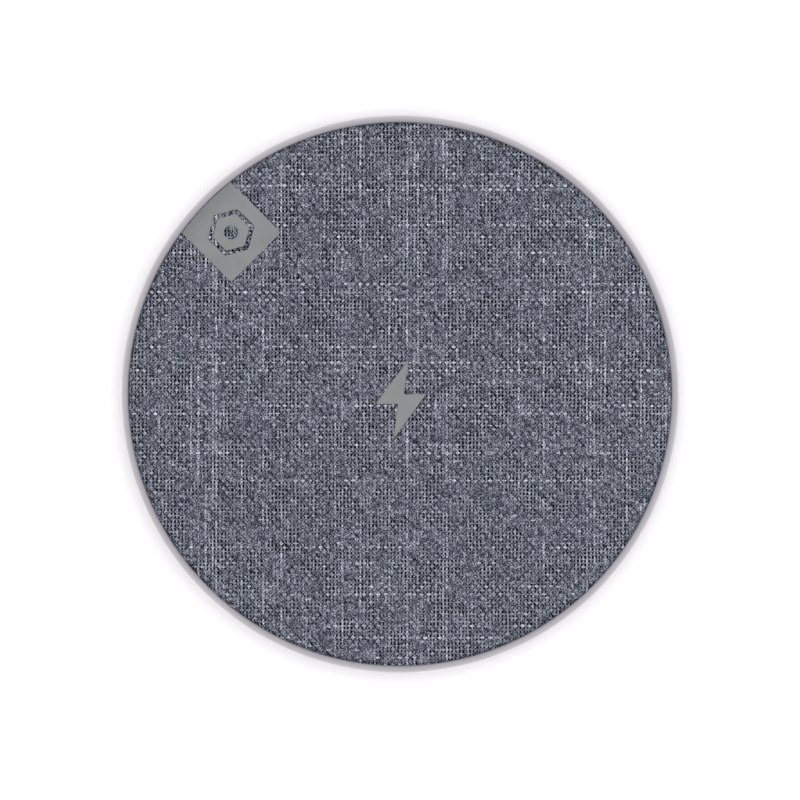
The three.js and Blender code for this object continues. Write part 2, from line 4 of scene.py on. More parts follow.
import bmesh
import bpy
import numpy as np
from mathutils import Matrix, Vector


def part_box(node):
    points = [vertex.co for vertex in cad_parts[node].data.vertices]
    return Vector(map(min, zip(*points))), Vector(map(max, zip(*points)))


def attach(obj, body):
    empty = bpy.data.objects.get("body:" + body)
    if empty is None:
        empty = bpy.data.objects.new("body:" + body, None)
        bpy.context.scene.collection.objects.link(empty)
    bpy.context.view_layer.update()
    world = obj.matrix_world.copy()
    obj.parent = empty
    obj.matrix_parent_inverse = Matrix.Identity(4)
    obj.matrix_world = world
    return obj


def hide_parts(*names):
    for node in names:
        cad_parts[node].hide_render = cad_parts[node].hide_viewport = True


# A cloth-topped wireless charging pad, seen from straight above. Metres, in the model's own frame:
# +Z up, +Y towards the power receptacle, -Y towards the status light.

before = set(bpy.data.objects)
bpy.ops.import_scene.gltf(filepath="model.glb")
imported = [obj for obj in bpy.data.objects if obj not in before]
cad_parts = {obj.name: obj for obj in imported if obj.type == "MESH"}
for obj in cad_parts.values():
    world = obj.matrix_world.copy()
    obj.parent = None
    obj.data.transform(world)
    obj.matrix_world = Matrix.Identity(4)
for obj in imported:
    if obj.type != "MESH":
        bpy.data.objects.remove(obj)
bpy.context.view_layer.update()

MM = 0.001


def low(node):
    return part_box(node)[0]


def high(node):
    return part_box(node)[1]


# ---------------------------------------------------------------- sizes read from the model

PAD_RADIUS = high("housing_ring").x
RING_TOP = high("housing_ring").z
RING_BOTTOM = low("housing_ring").z
CLOTH_RADIUS = high("fabric_cover").x
CLOTH_TOP = high("fabric_cover").z
SKIRT_BOTTOM = low("fabric_cover").z
BAND_MIDDLE = (low("port_shell").z + high("port_shell").z) / 2
SHELL_BACK = low("port_shell").y
SHELL_FRONT = high("port_shell").y
SHELL_WIDTH = high("port_shell").x - low("port_shell").x
SHELL_HEIGHT = high("port_shell").z - low("port_shell").z

# ---------------------------------------------------------------- the ring

TURNED_SEGMENTS = 384
BEVEL_HEIGHT = 1.15 * MM
TOP_BEVEL_INSET = 1.55 * MM
BOTTOM_BEVEL_INSET = 1.05 * MM
BEVEL_FULLNESS = 0.62  # 0 is a flat chamfer, and 1 a corner
LIP_RADIUS = 58.3 * MM
LIP_EDGE = 0.04 * MM
LEDGE_RADIUS = 56 * MM
LEDGE_TOP = 8 * MM
LEDGE_BOTTOM = 7.1 * MM
WALL_RADIUS = 57.8 * MM
BASE_REBATE_RADIUS = 58.25 * MM
BASE_REBATE_TOP = 1.75 * MM

# ---------------------------------------------------------------- the cloth

WARP_PITCH = 0.771 * MM  # between threads that run along Y
WEFT_PITCH = 0.842 * MM  # between threads that run along X
THREAD_RELIEF = 0.24 * MM  # from the gaps between the threads up to their crowns
THREAD_LEAN = 0.13  # how far an upper thread reaches over its neighbour's cell, as a share of the pitch
THREAD_WANDER = 0.05  # how far a thread strays sideways, as a share of the pitch
CLOTH_EDGE = 0.6 * MM  # width of the turned edge
CLOTH_FLAT_RADIUS = CLOTH_RADIUS - CLOTH_EDGE
CLOTH_RIM_HEIGHT = CLOTH_TOP - THREAD_RELIEF / 2
SKIRT_THICKNESS = 0.4 * MM
PRESSED_TOP = 10.36 * MM  # the cloth's crowns where the tab or the mark holds it down

# How its shade varies, on a scale from black (0) to white (1) that is even to the eye.
MEAN_SHADE = 0.412
DRIFT_SHADE = 0.22  # slowly, along each thread
FIBRE_SHADE = 1.85  # between a thread's fibres
FLOAT_SHADE = 0.2  # from one float of a thread to the next
PALE_SHADE = 0.2  # added to the core of a pale yarn
ROW_PAINTED_HIGHLIGHT = 0.14  # painted highlight, between a weft's edges and its middle, and the other way on the warps
WEFT_SHADE = 0.01  # added to every weft
CROWN_PAINTED_SHADE = 0.02  # painted shade, taken from the crowns and added to the dips
OPEN_SHADE = 0.06  # between closely and openly woven places
RIM_PAINTED_SHADE = 0.12  # painted shade, taken from the last millimetre next to the ring
HOLE_LEAST = 0.06  # the smallest pinhole, as a share of the pitch
HOLE_RANGE = 0.34  # from the smallest pinhole to the largest
CLOTH_TINT = (-0.0165, 0.0015, 0.0465)  # added to the shade's red, green and blue
CLOTH_LIGHT = 1.5  # how much light falls on the cloth, next to a white that shows as white

# ---------------------------------------------------------------- the tab and the mark

TAB_ANGLE = math.radians(135)
TAB_WIDTH = 15.1 * MM
TAB_SHIFT = 1.1 * MM  # its middle line passes this far from the pad's axis
TAB_INNER_RADIUS = 42.5 * MM
TAB_CORNER = 0.7 * MM
TAB_EDGE_RADIUS = 58.1 * MM
TAB_MARK_RADIUS = 50.1 * MM
TAB_MARK_REACH = 5.2 * MM
TAB_MARK_STROKE = 1.1 * MM
TAB_MARK_DOT = 1.5 * MM
CHARGE_MARK_SIZE = (10.8 * MM, 17 * MM)
CHARGE_MARK_CENTRE = (0.2 * MM, -1.1 * MM)
PATCH_EDGE = 0.07 * MM
PATCH_DEPTH = 0.12 * MM  # how far the tab and the mark sink into the pressed cloth

# ---------------------------------------------------------------- receptacle, light and base

SHELL_WALL = 0.3 * MM
SHELL_CLEARANCE = 0.1 * MM
PORT_CHAMFER = 0.22 * MM
WINDOW_CLEARANCE = 0.05 * MM
WINDOW_CHAMFER = 0.12 * MM
WINDOW_SIZE = (6.9 * MM, 1.45 * MM)
WINDOW_DEPTH = 2.6 * MM

FOOT_INNER = 40 * MM
FOOT_OUTER = 51 * MM
FOOT_CLEARANCE = 0.05 * MM
SCREW_CIRCLE = (FOOT_INNER + FOOT_OUTER) / 2
BASE_BOTTOM = low("base_cover").z
BASE_TOP = BASE_BOTTOM + 1.4 * MM
FOOT_RECESS_TOP = BASE_BOTTOM + 0.6 * MM

# ---------------------------------------------------------------- the studio

WORLD_STOPS = (  # (upward part of the direction looked in, colour)
    (0.0, (1.0, 1.0, 1.0)),
    (0.29, (0.91, 0.90, 0.91)),
    (0.79, (0.73, 0.71, 0.74)),
    (1.0, (0.55, 0.53, 0.58)),
)
LAMP_PLACE = (0.04, 0.05, 1.2)
LAMP_SIZE = 2.0
LAMP_POWER = 20.0
FLOOR_HALF = 3.0
FLOOR_GAP = 0.01 * MM
CAMERA_DISTANCE = 0.6
PAD_SHARE = 0.7  # of the frame's width
PAD_RISE = 0.0075  # of the pad's middle above the frame's, as a share of the width


# ---------------------------------------------------------------- outlines

def arc(centre, radius, start, end, steps=8):
    """Points round an arc, with its angles in degrees."""
    angles = np.radians(np.linspace(start, end, steps + 1))
    return [(centre[0] + radius * math.cos(a), centre[1] + radius * math.sin(a)) for a in angles]


def pill(width, height):
    """The (across, up) points of a slot with round ends, anticlockwise."""
    reach = (width - height) / 2
    right_end = arc((reach, 0), height / 2, -90, 90, 24)
    left_end = arc((-reach, 0), height / 2, 90, 270, 24)
    return right_end + left_end


def bend(start, control, end, steps):
    """Points along a quadratic curve that leaves and arrives heading for its control point."""
    points = []
    for step in range(steps + 1):
        t = step / steps
        points.append(tuple(
            (1 - t) ** 2 * a + 2 * t * (1 - t) * c + t * t * b
            for a, c, b in zip(start, control, end)
        ))
    return points


def with_round_corners(corners, radius):
    """A polygon's outline with each corner rounded off by a curve."""
    points = []
    for index, corner in enumerate(corners):
        here = Vector(corner)
        before = Vector(corners[index - 1])
        after = Vector(corners[(index + 1) % len(corners)])
        start = here + (before - here).normalized() * radius
        end = here + (after - here).normalized() * radius
        points += bend(start, here, end, 4)
    return points


def turned_points(points, angle):
    cosine, sine = math.cos(angle), math.sin(angle)
    return [(x * cosine - y * sine, x * sine + y * cosine) for x, y in points]


def along_y(outline, y):
    """An (across, up) outline stood across the Y axis at the height of the band's middle."""
    return [(x, y, BAND_MIDDLE + z) for x, z in outline]


def pill_rings(section, width, height):
    """A pill's outline for each (inset, y) point of a section."""
    return [along_y(pill(width - 2 * inset, height - 2 * inset), y) for inset, y in section]


def smooth_route(points, steps=8):
    """A Catmull-Rom curve through the points."""
    ends = [points[0] * 2 - points[1], *points, points[-1] * 2 - points[-2]]
    route = []
    for index in range(1, len(ends) - 2):
        a, b, c, d = ends[index - 1:index + 3]
        for step in range(steps):
            t = step / steps
            route.append(0.5 * (
                2 * b + (c - a) * t + (2 * a - 5 * b + 4 * c - d) * t ** 2
                + (3 * b - a - 3 * c + d) * t ** 3
            ))
    return [*route, points[-1]]


# ---------------------------------------------------------------- meshes

@contextmanager
def edited(mesh):
    """Opens a mesh for editing, and writes the result back."""
    work = bmesh.new()
    work.from_mesh(mesh)
    yield work
    work.to_mesh(mesh)
    work.free()


def outwards(mesh):
    """Turns all faces outwards."""
    with edited(mesh) as work:
        bmesh.ops.recalc_face_normals(work, faces=work.faces)


def weld(mesh):
    """Joins points that meet, drops the slivers which that leaves, and turns all faces outwards."""
    with edited(mesh) as work:
        bmesh.ops.remove_doubles(work, verts=work.verts, dist=1e-7)
        bmesh.ops.dissolve_degenerate(work, edges=work.edges, dist=1e-8)
        bmesh.ops.recalc_face_normals(work, faces=work.faces)


def new_mesh(name, vertices, faces):
    mesh = bpy.data.meshes.new(name)
    mesh.from_pydata([tuple(vertex) for vertex in vertices], [], faces)
    mesh.validate()
    return mesh


def turned_mesh(name, outline, segments=TURNED_SEGMENTS):
    """Spins a closed outline of (radius, height) points about Z."""
    count = len(outline)
    angles = np.arange(segments) * 2 * math.pi / segments
    vertices = [
        (radius * math.cos(angle), radius * math.sin(angle), height)
        for angle in angles
        for radius, height in outline
    ]
    faces = []
    for column in range(segments):
        here = column * count
        there = (column + 1) % segments * count
        for row in range(count):
            above = (row + 1) % count
            faces.append((here + row, there + row, there + above, here + above))
    return new_mesh(name, vertices, faces)


def lofted_mesh(name, rings, capped=True):
    """Joins equal rings of points into a tube, and closes its two ends."""
    count = len(rings[0])
    vertices = [point for ring in rings for point in ring]
    faces = []
    for level in range(len(rings) - 1):
        here = level * count
        for index in range(count):
            after = (index + 1) % count
            faces.append((here + index, here + after, here + count + after, here + count + index))
    if capped:
        faces.append(tuple(reversed(range(count))))
        faces.append(tuple(range(len(vertices) - count, len(vertices))))
    mesh = new_mesh(name, vertices, faces)
    outwards(mesh)
    return mesh


def tube_mesh(name, route, radius, sides):
    """A round bar along a route of points, closed at both ends."""
    rings = []
    side = Vector((0, 0, 1))
    for index, point in enumerate(route):
        ahead = route[min(index + 1, len(route) - 1)] - route[max(index - 1, 0)]
        ahead.normalize()
        side = (side - ahead * side.dot(ahead)).normalized()
        other = ahead.cross(side)
        rings.append([
            point + radius * (math.cos(turn) * side + math.sin(turn) * other)
            for turn in np.arange(sides) * 2 * math.pi / sides
        ])
    return lofted_mesh(name, rings)


def block(low_corner, high_corner, edge, steps=2):
    """A block with all its edges rounded."""
    work = bmesh.new()
    bmesh.ops.create_cube(work, size=1.0)
    for vertex in work.verts:
        for axis in range(3):
            corner = high_corner if vertex.co[axis] > 0 else low_corner
            vertex.co[axis] = corner[axis]
    bmesh.ops.bevel(
        work, geom=work.edges[:], offset=edge, segments=steps, profile=0.5, affect="EDGES")
    bmesh.ops.recalc_face_normals(work, faces=work.faces)
    mesh = bpy.data.meshes.new("block")
    work.to_mesh(mesh)
    work.free()
    return mesh


def block_over(width, depth, bottom, top, edge, x=0.0, y=0.0):
    """A block over a place, from one height to another."""
    low_corner = (x - width / 2, y - depth / 2, bottom)
    high_corner = (x + width / 2, y + depth / 2, top)
    return block(low_corner, high_corner, edge)


def bevelled_plate(name, outlines, bottom, top, edge):
    """An upright plate of the first outline, with the others cut through it and every edge rounded."""
    curve = bpy.data.curves.new(name, "CURVE")
    curve.dimensions = "2D"
    curve.fill_mode = "BOTH"
    curve.extrude = (top - bottom) / 2 - edge
    curve.bevel_depth = edge
    curve.bevel_resolution = 3
    curve.offset = -edge
    for outline in outlines:
        spline = curve.splines.new("POLY")
        spline.points.add(len(outline) - 1)
        for point, (x, y) in zip(spline.points, outline):
            point.co = (x, y, 0, 1)
        spline.use_cyclic_u = True
    holder = bpy.data.objects.new(name, curve)
    bpy.context.scene.collection.objects.link(holder)
    mesh = evaluated_mesh(holder)
    bpy.data.objects.remove(holder)
    bpy.data.curves.remove(curve)
    weld(mesh)
    for vertex in mesh.vertices:
        vertex.co.z += (top + bottom) / 2
    return mesh


def evaluated_mesh(thing):
    """An object's shape with its modifiers applied, as a new mesh."""
    bpy.context.view_layer.update()
    shown = thing.evaluated_get(bpy.context.evaluated_depsgraph_get())
    return bpy.data.meshes.new_from_object(shown)


def cut_by(mesh, cutters, added=()):
    """The mesh with some meshes' volumes added, and then the cutters' volumes taken away."""
    whole = bpy.data.objects.new("whole", mesh)
    bpy.context.scene.collection.objects.link(whole)
    holders = [whole]
    steps = [(part, "UNION") for part in added] + [(cutter, "DIFFERENCE") for cutter in cutters]
    for part, operation in steps:
        holder = bpy.data.objects.new("part", part)
        bpy.context.scene.collection.objects.link(holder)
        holders.append(holder)
        cut = whole.modifiers.new("cut", "BOOLEAN")
        cut.operation = operation
        cut.solver = "EXACT"
        cut.object = holder
    result = evaluated_mesh(whole)
    for holder in holders:
        bpy.data.objects.remove(holder)
    result.materials.clear()
    return result


def gathered(name, *parts):
    """One mesh of several (mesh, material number) parts."""
    work = bmesh.new()
    for mesh, number in parts:
        first = len(work.faces)
        work.from_mesh(mesh)
        work.faces.ensure_lookup_table()
        for face in work.faces[first:]:
            face.material_index = number
        bpy.data.meshes.remove(mesh)
    whole = bpy.data.meshes.new(name)
    work.to_mesh(whole)
    work.free()
    return whole


def keep_pairs(mesh, name, pairs):
    """Keeps a pair of numbers at each of the mesh's points, for its material to read."""
    layer = mesh.attributes.new(name, "FLOAT_VECTOR", "POINT")
    padded = np.pad(np.asarray(pairs, np.float32), ((0, 0), (0, 1)))
    layer.data.foreach_set("vector", padded.ravel())


def smooth(mesh, angle):
    """Shades a mesh smooth, except across edges sharper than an angle in degrees."""
    mesh.shade_smooth()
    mesh.set_sharp_from_angle(angle=math.radians(angle))


def add_piece(mesh, node, materials, name=None, angle=35, place=(0, 0, 0), turn=0.0):
    """Adds a mesh as a piece that rides on the pad's one body and stands for one of the model's nodes."""
    piece = bpy.data.objects.new(name or f"{node}_fine", mesh)
    bpy.context.scene.collection.objects.link(piece)
    for material in materials:
        mesh.materials.append(material)
    smooth(mesh, angle)
    piece.location = place
    piece.rotation_euler.z = turn
    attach(piece, "root")
    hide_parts(node)
    return piece


# ---------------------------------------------------------------- shader arithmetic

def set_stops(ramp, stops):
    """Gives a colour ramp its (place, (red, green, blue)) stops."""
    while len(ramp.elements) < len(stops):
        ramp.elements.new(1.0)
    for element, (place, colour) in zip(ramp.elements, stops):
        element.position = place
        element.color = (*colour, 1.0)


class Number:
    """A value socket in a shader, used in ordinary arithmetic."""

    def __init__(self, shader, socket):
        self.shader = shader
        self.socket = socket

    def __add__(self, other):
        return self.shader.math("ADD", self, other)

    def __sub__(self, other):
        return self.shader.math("SUBTRACT", self, other)

    def __rsub__(self, other):
        return self.shader.math("SUBTRACT", other, self)

    def __mul__(self, other):
        return self.shader.math("MULTIPLY", self, other)

    def __truediv__(self, other):
        return self.shader.math("DIVIDE", self, other)

    __radd__ = __add__
    __rmul__ = __mul__

    def floor(self):
        return self.shader.math("FLOOR", self)

    def size(self):
        return self.shader.math("ABSOLUTE", self)

    def power(self, exponent):
        return self.shader.math("POWER", self, exponent)

    def most(self, other):
        return self.shader.math("MAXIMUM", self, other)

    def above(self, other):
        return self.shader.math("GREATER_THAN", self, other)

    def part(self):
        """What is left above the whole number below."""
        return self - self.floor()

    def towards(self, other, share):
        """This number moved a share of the way to another."""
        return self + (other - self) * share

    def between(self, start, end, to_start=0.0, to_end=1.0):
        """This number carried from one range to another, smoothly and without going past the ends."""
        node = self.shader.node("ShaderNodeMapRange")
        node.interpolation_type = "SMOOTHSTEP"
        values = {"Value": self, "From Min": start, "From Max": end, "To Min": to_start, "To Max": to_end}
        for name, value in values.items():
            self.shader.feed(value, node.inputs[name])
        return Number(self.shader, node.outputs["Result"])


class Shader:
    """A material's node tree, ending in one Principled shader. x, y and z are the object's own."""

    def __init__(self, name):
        self.material = bpy.data.materials.new(name)
        self.material.use_nodes = True
        self.tree = self.material.node_tree
        self.tree.nodes.clear()
        self.surface = self.node("ShaderNodeBsdfPrincipled")
        output = self.node("ShaderNodeOutputMaterial")
        self.tree.links.new(self.surface.outputs["BSDF"], output.inputs["Surface"])
        self.place = self.node("ShaderNodeTexCoord").outputs["Object"]
        self.x, self.y, self.z = self.split(self.place)

    def node(self, kind):
        return self.tree.nodes.new(kind)

    def split(self, vector):
        split = self.node("ShaderNodeSeparateXYZ")
        self.tree.links.new(vector, split.inputs["Vector"])
        return [Number(self, split.outputs[axis]) for axis in "XYZ"]

    def pair(self, name):
        """A pair of numbers kept on the mesh."""
        node = self.node("ShaderNodeAttribute")
        node.attribute_name = name
        return self.split(node.outputs["Vector"])[:2]

    def feed(self, value, socket):
        """Links a number or a socket into an input, or sets the input to a plain value."""
        if isinstance(value, Number):
            self.tree.links.new(value.socket, socket)
        elif isinstance(value, bpy.types.NodeSocket):
            self.tree.links.new(value, socket)
        elif isinstance(value, tuple):
            socket.default_value = (*value, 1.0)
        else:
            socket.default_value = value

    def math(self, operation, *values):
        node = self.node("ShaderNodeMath")
        node.operation = operation
        for value, socket in zip(values, node.inputs):
            self.feed(value, socket)
        return Number(self, node.outputs["Value"])

    def vector(self, x, y, z=0.0):
        node = self.node("ShaderNodeCombineXYZ")
        for value, socket in zip((x, y, z), node.inputs):
            self.feed(value, socket)
        return node.outputs["Vector"]

    def turn(self):
        """The angle round Z, in radians."""
        return self.math("ARCTAN2", self.y, self.x)

    def radius(self):
        return (self.x.power(2.0) + self.y.power(2.0)).power(0.5)

    def noise(self, size=1.0, vector=None, detail=2.0, roughness=0.5):
        """Smooth noise, mostly from 0.3 to 0.7, with features of about a size in metres."""
        node = self.node("ShaderNodeTexNoise")
        self.feed(vector or self.place, node.inputs["Vector"])
        node.inputs["Scale"].default_value = 1.0 / size
        node.inputs["Detail"].default_value = detail
        node.inputs["Roughness"].default_value = roughness
        return Number(self, node.outputs["Fac"])

    def scatter(self, x, y):
        """A number from 0 to 1, unlike its neighbours', for each pair of whole numbers."""
        node = self.node("ShaderNodeTexWhiteNoise")
        node.noise_dimensions = "2D"
        self.feed(self.vector(x, y), node.inputs["Vector"])
        return Number(self, node.outputs["Value"])

    def cells(self, size):
        """The distance from the nearest of many scattered points."""
        node = self.node("ShaderNodeTexVoronoi")
        self.feed(self.place, node.inputs["Vector"])
        node.inputs["Scale"].default_value = 1.0 / size
        return Number(self, node.outputs["Distance"])

    def colours(self, value, *stops):
        """A colour read off a ramp of (place, (red, green, blue)) stops."""
        node = self.node("ShaderNodeValToRGB")
        set_stops(node.color_ramp, stops)
        self.feed(value, node.inputs["Fac"])
        return node.outputs["Color"]

    def mixed(self, first, second, share):
        """One colour laid over another by a share from 0 to 1."""
        node = self.node("ShaderNodeMix")
        node.data_type = "RGBA"
        sockets = [socket for socket in node.inputs if socket.enabled]
        for value, socket in zip((share, first, second), sockets):
            self.feed(value, socket)
        return next(socket for socket in node.outputs if socket.enabled)

    def bump(self, height, distance, strength):
        node = self.node("ShaderNodeBump")
        node.inputs["Strength"].default_value = strength
        node.inputs["Distance"].default_value = distance
        self.feed(height, node.inputs["Height"])
        return node.outputs["Normal"]

    def finish(self, **inputs):
        """Sets the Principled shader's inputs, given with underscores for spaces."""
        for name, value in inputs.items():
            self.feed(value, self.surface.inputs[name.replace("_", " ")])
        return self.material


# ---------------------------------------------------------------- materials

def scaled(colour, factor):
    return tuple(part * factor for part in colour)


def grained(name, colour, grain, depth, rough, spread=0.08, **more):
    """A plain material whose colour, gloss and surface vary with a fine grain and faint clouding."""
    s = Shader(name)
    fine = s.noise(grain, detail=3.0)
    cloudy = s.noise(12 * MM, detail=3.0)
    darker = scaled(colour, 1 - spread)
    lighter = scaled(colour, 1 + spread)
    return s.finish(
        Base_Color=s.colours(fine * 0.6 + cloudy * 0.4, (0.3, darker), (0.7, lighter)),
        Roughness=fine.between(0.3, 0.7, *rough),
        Normal=s.bump(fine, depth, 0.7),
        **more,
    )


def cloth_material():
    """Plain weave of melange yarn, with pinholes painted nearly black as shade where four threads meet.
    """
    s = Shader("heathered_cloth")
    u, v = s.pair("weave")
    warp = (u + 0.5).floor()
    weft = (v + 0.5).floor()
    across_warp = (u - warp).size()
    across_weft = (v - weft).size()
    weft_over = ((warp + weft) * 0.5).part().above(0.25)

    def uneven(x, y, seed):
        """Noise over two numbers, unlike that of any other seed."""
        return s.noise(vector=s.vector(x, y, seed), detail=2.0, roughness=0.6)

    def along(place, thread, speed, seed):
        """Noise that changes slowly along a thread and at random from thread to thread."""
        return uneven(place * speed, thread * 7.31, seed)

    def strands(place, across, seed):
        """The fibre bundles that a thread is spun from, side by side."""
        return uneven(place * 1.8, across * 5.2, seed)

    # Which thread shows: the upper one, except near its own edges, where it dives.
    warp_rise = across_warp * -1.1 - across_weft * 0.15 + (1.0 - weft_over) * 0.3
    weft_rise = across_weft * -1.1 - across_warp * 0.5 + weft_over * 0.3
    weft_shows = weft_rise.above(warp_rise)
    rise = warp_rise.most(weft_rise)

    # Each float, the stretch of a thread between two dives, has a shade of its own.
    float_v = ((v - warp) * 0.5 + 0.5).floor() * 2.0 + warp
    float_u = ((u - weft - 1.0) * 0.5 + 0.5).floor() * 2.0 + weft + 1.0

    def shade(place, thread, across, stretch, seed):
        """How light a thread is: slow drifts, fine fibres, and a light core where the yarn is pale."""
        drift = (along(place, thread, 0.22, seed) - 0.5) * DRIFT_SHADE
        fibres = (strands(place, across, seed) - 0.5) * FIBRE_SHADE
        own = (stretch - 0.5) * FLOAT_SHADE
        pale_thread = s.scatter(thread, seed).between(0.76, 0.86)
        pale_here = along(place, thread, 0.08, seed + 20.0).between(0.46, 0.52)
        core = (across - thread).size().between(0.1, 0.35, 1.0, 0.2)
        return drift + fibres + own + pale_here * pale_thread * core * PALE_SHADE

    # Painted highlight: wefts are lightest along their middles, and warps where they near a dive.
    painted_row_highlight = (across_weft.between(0.08, 0.4, 1.0, 0.0) - 0.5) * ROW_PAINTED_HIGHLIGHT
    warp_shade = shade(v, warp, u, s.scatter(warp, float_v), 3.7) - painted_row_highlight
    weft_shade = shade(u, weft, v, s.scatter(float_u, weft), 91.3) + painted_row_highlight + WEFT_SHADE
    # Painted shade that follows the threads' height: crowns a little darker, dips a little lighter.
    painted_crown_shade = rise.between(-0.45, 0.25, CROWN_PAINTED_SHADE, -CROWN_PAINTED_SHADE)

    # Pinholes, which open most where both pairs of threads run thin, painted nearly black as the shade
    # inside them.
    out_x = (0.5 - across_warp) * 1.1
    out_y = (0.5 - across_weft) * 0.86
    out = (out_x.power(3.0) + out_y.power(3.0)).power(1 / 3)
    thinness = uneven(u * 0.2, v * 0.2, 5.5).between(0.38, 0.62)
    chance = s.scatter(u.floor(), v.floor())
    opening = (thinness * 0.55 + chance * 0.45) * HOLE_RANGE + HOLE_LEAST
    hole = (out / opening).between(0.55, 1.1, 1.0, 0.0)

    threads = warp_shade.towards(weft_shade, weft_shows)
    whole = MEAN_SHADE + threads + painted_crown_shade + (thinness - 0.5) * OPEN_SHADE
    holes_painted_dark = whole * (1.0 - hole * 0.95)
    # Painted shade: the cloth is darkened over its last millimetre, next to the ring.
    rim = s.radius().between(CLOTH_RADIUS - MM, CLOTH_RADIUS, 0.0, RIM_PAINTED_SHADE)
    stops = [(place, cloth_colour(place)) for place in (0.0, 0.12, 0.25, 0.4, 0.55, 0.75, 1.0)]
    relief = rise * 0.8 + strands(u, v, 31.0) * 0.3 - hole
    return s.finish(
        Base_Color=s.colours(holes_painted_dark - rim, *stops),
        Roughness=0.9,
        Sheen_Weight=0.1,
        Sheen_Roughness=0.4,
        Specular_IOR_Level=0.1,
        Normal=s.bump(relief, 0.12 * MM, 0.5),
    )


def cloth_colour(shade):
    """The cloth's blue-grey, for a shade that is even to the eye."""
    darkest = 0.012
    return tuple(max(shade + part, darkest) ** 2.2 / CLOTH_LIGHT for part in CLOTH_TINT)


def turned_metal(name, dark, light, roughness, depth):
    """Metal off the lathe: fine rings round the axis, each drawn out along the turn."""
    s = Shader(name)
    line = 0.05 * MM
    rings = s.noise(vector=s.vector(s.turn() * 2.0, s.z / line, s.radius() / line), detail=3.0)
    cloudy = s.noise(11 * MM)
    return s.finish(
        Base_Color=s.colours(cloudy * 0.4 + rings * 0.6, (0.3, dark), (0.7, light)),
        Metallic=1.0,
        Roughness=rings.between(0.2, 0.8, roughness - 0.03, roughness + 0.03),
        Normal=s.bump(rings, depth, 0.5),
    )


def drawn_metal(name, dark, light, roughness):
    """Sheet metal with a faint grain along Y and cloudy wear."""
    s = Shader(name)
    across = 0.03 * MM
    along = 1.5 * MM
    grain = s.noise(vector=s.vector(s.x / across, s.y / along, s.z / across), detail=2.0)
    cloudy = s.noise(2 * MM, detail=3.0)
    return s.finish(
        Base_Color=s.colours(grain * 0.5 + cloudy * 0.5, (0.3, dark), (0.7, light)),
        Metallic=1.0,
        Roughness=cloudy.between(0.3, 0.7, roughness - 0.05, roughness + 0.05),
        Normal=s.bump(grain, 0.003 * MM, 0.5),
    )


def rubber_material(name, colour, shaded):
    """Thin grey rubber with a fine grain, with painted shade that darkens it towards the ring."""
    s = Shader(name)
    grain = s.noise(0.12 * MM, detail=3.0)
    cloudy = s.noise(5 * MM)
    # Painted shade: the rubber is darkened as it nears the ring.
    painted_ring_shade = s.radius().between(LIP_RADIUS - 4.5 * MM, LIP_RADIUS, 0.0, shaded)
    stops = [(0.0, scaled(colour, 0.7)), (0.5, colour), (1.0, scaled(colour, 1.2))]
    return s.finish(
        Base_Color=s.colours(grain * 0.5 + cloudy * 0.5 - painted_ring_shade, *stops),
        Roughness=grain.between(0.3, 0.7, 0.5, 0.62),
        Normal=s.bump(grain, 0.012 * MM, 0.7),
    )


def window_material():
    """Blue diffusing plastic, lit from behind: brightest in the middle, where the light sits."""
    s = Shader("blue_light_guide")
    dim = (0.002, 0.010, 0.080)
    bright = (0.006, 0.036, 0.260)
    mist = s.noise(0.4 * MM, detail=3.0)
    lit = s.x.size().between(0.5 * MM, 3.6 * MM, 1.0, 0.45)
    glow = s.colours(mist * 0.3 + lit * 0.7, (0.3, dim), (0.9, bright))
    return s.finish(
        Base_Color=glow,
        Roughness=mist.between(0.3, 0.7, 0.12, 0.2),
        Emission_Color=glow,
        Emission_Strength=0.25,
        Normal=s.bump(mist, 0.004 * MM, 0.4),
    )


def board_material():
    """Green solder mask over copper traces, with plated vias and a pale glass-fibre edge."""
    s = Shader("circuit_board_laminate")
    gilt = (0.62, 0.42, 0.16)
    black = (0.01, 0.01, 0.01)
    glass_fibre = (0.36, 0.33, 0.18)
    masks = (0.1, (0.004, 0.045, 0.018)), (0.9, (0.012, 0.120, 0.045))

    # Traces run round the board in some patches, and outwards in others.
    turn = s.turn() / (2 * math.pi)
    ring = s.radius() / (3.2 * MM)
    sector = turn * 72.0
    patch = s.noise(vector=s.vector(sector.floor() * 3.7, ring.floor() * 5.3), detail=0.0)
    lanes_out = (turn * 576.0).part()
    lanes_round = (s.radius() / (0.42 * MM)).part()
    lane = lanes_round.towards(lanes_out, patch.above(0.5))
    trace = (lane - 0.5).size().between(0.2, 0.26, 1.0, 0.0) * patch.above(0.42)

    # Vias stand on some points of a square grid, each with its hole painted black as shade.
    column = s.x / (1.9 * MM)
    row = s.y / (1.9 * MM)
    via_out = ((column.part() - 0.5).power(2.0) + (row.part() - 0.5).power(2.0)).power(0.5)
    here = s.noise(vector=s.vector(column.floor() * 4.1, row.floor() * 6.7), detail=0.0).above(0.52)
    via = via_out.between(0.13, 0.15, 1.0, 0.0) * here
    hole = via_out.between(0.05, 0.07, 1.0, 0.0) * here

    weave = s.noise(0.35 * MM, detail=2.0)
    mask = s.colours(trace * 0.7 + weave * 0.3, *masks)
    middle = (low("circuit_board").z + high("circuit_board").z) / 2
    edge = (s.z - middle).size().between(0.74 * MM, 0.79 * MM, 1.0, 0.0)
    # The via holes are painted black, as the shade inside them.
    drilled = s.mixed(s.mixed(mask, gilt, via), black, hole)
    return s.finish(
        Base_Color=s.mixed(drilled, glass_fibre, edge),
        Metallic=via * 0.8,
        Roughness=weave.between(0.3, 0.7, 0.25, 0.4),
        Normal=s.bump(trace + via - hole * 2.0, 0.03 * MM, 0.6),
    )


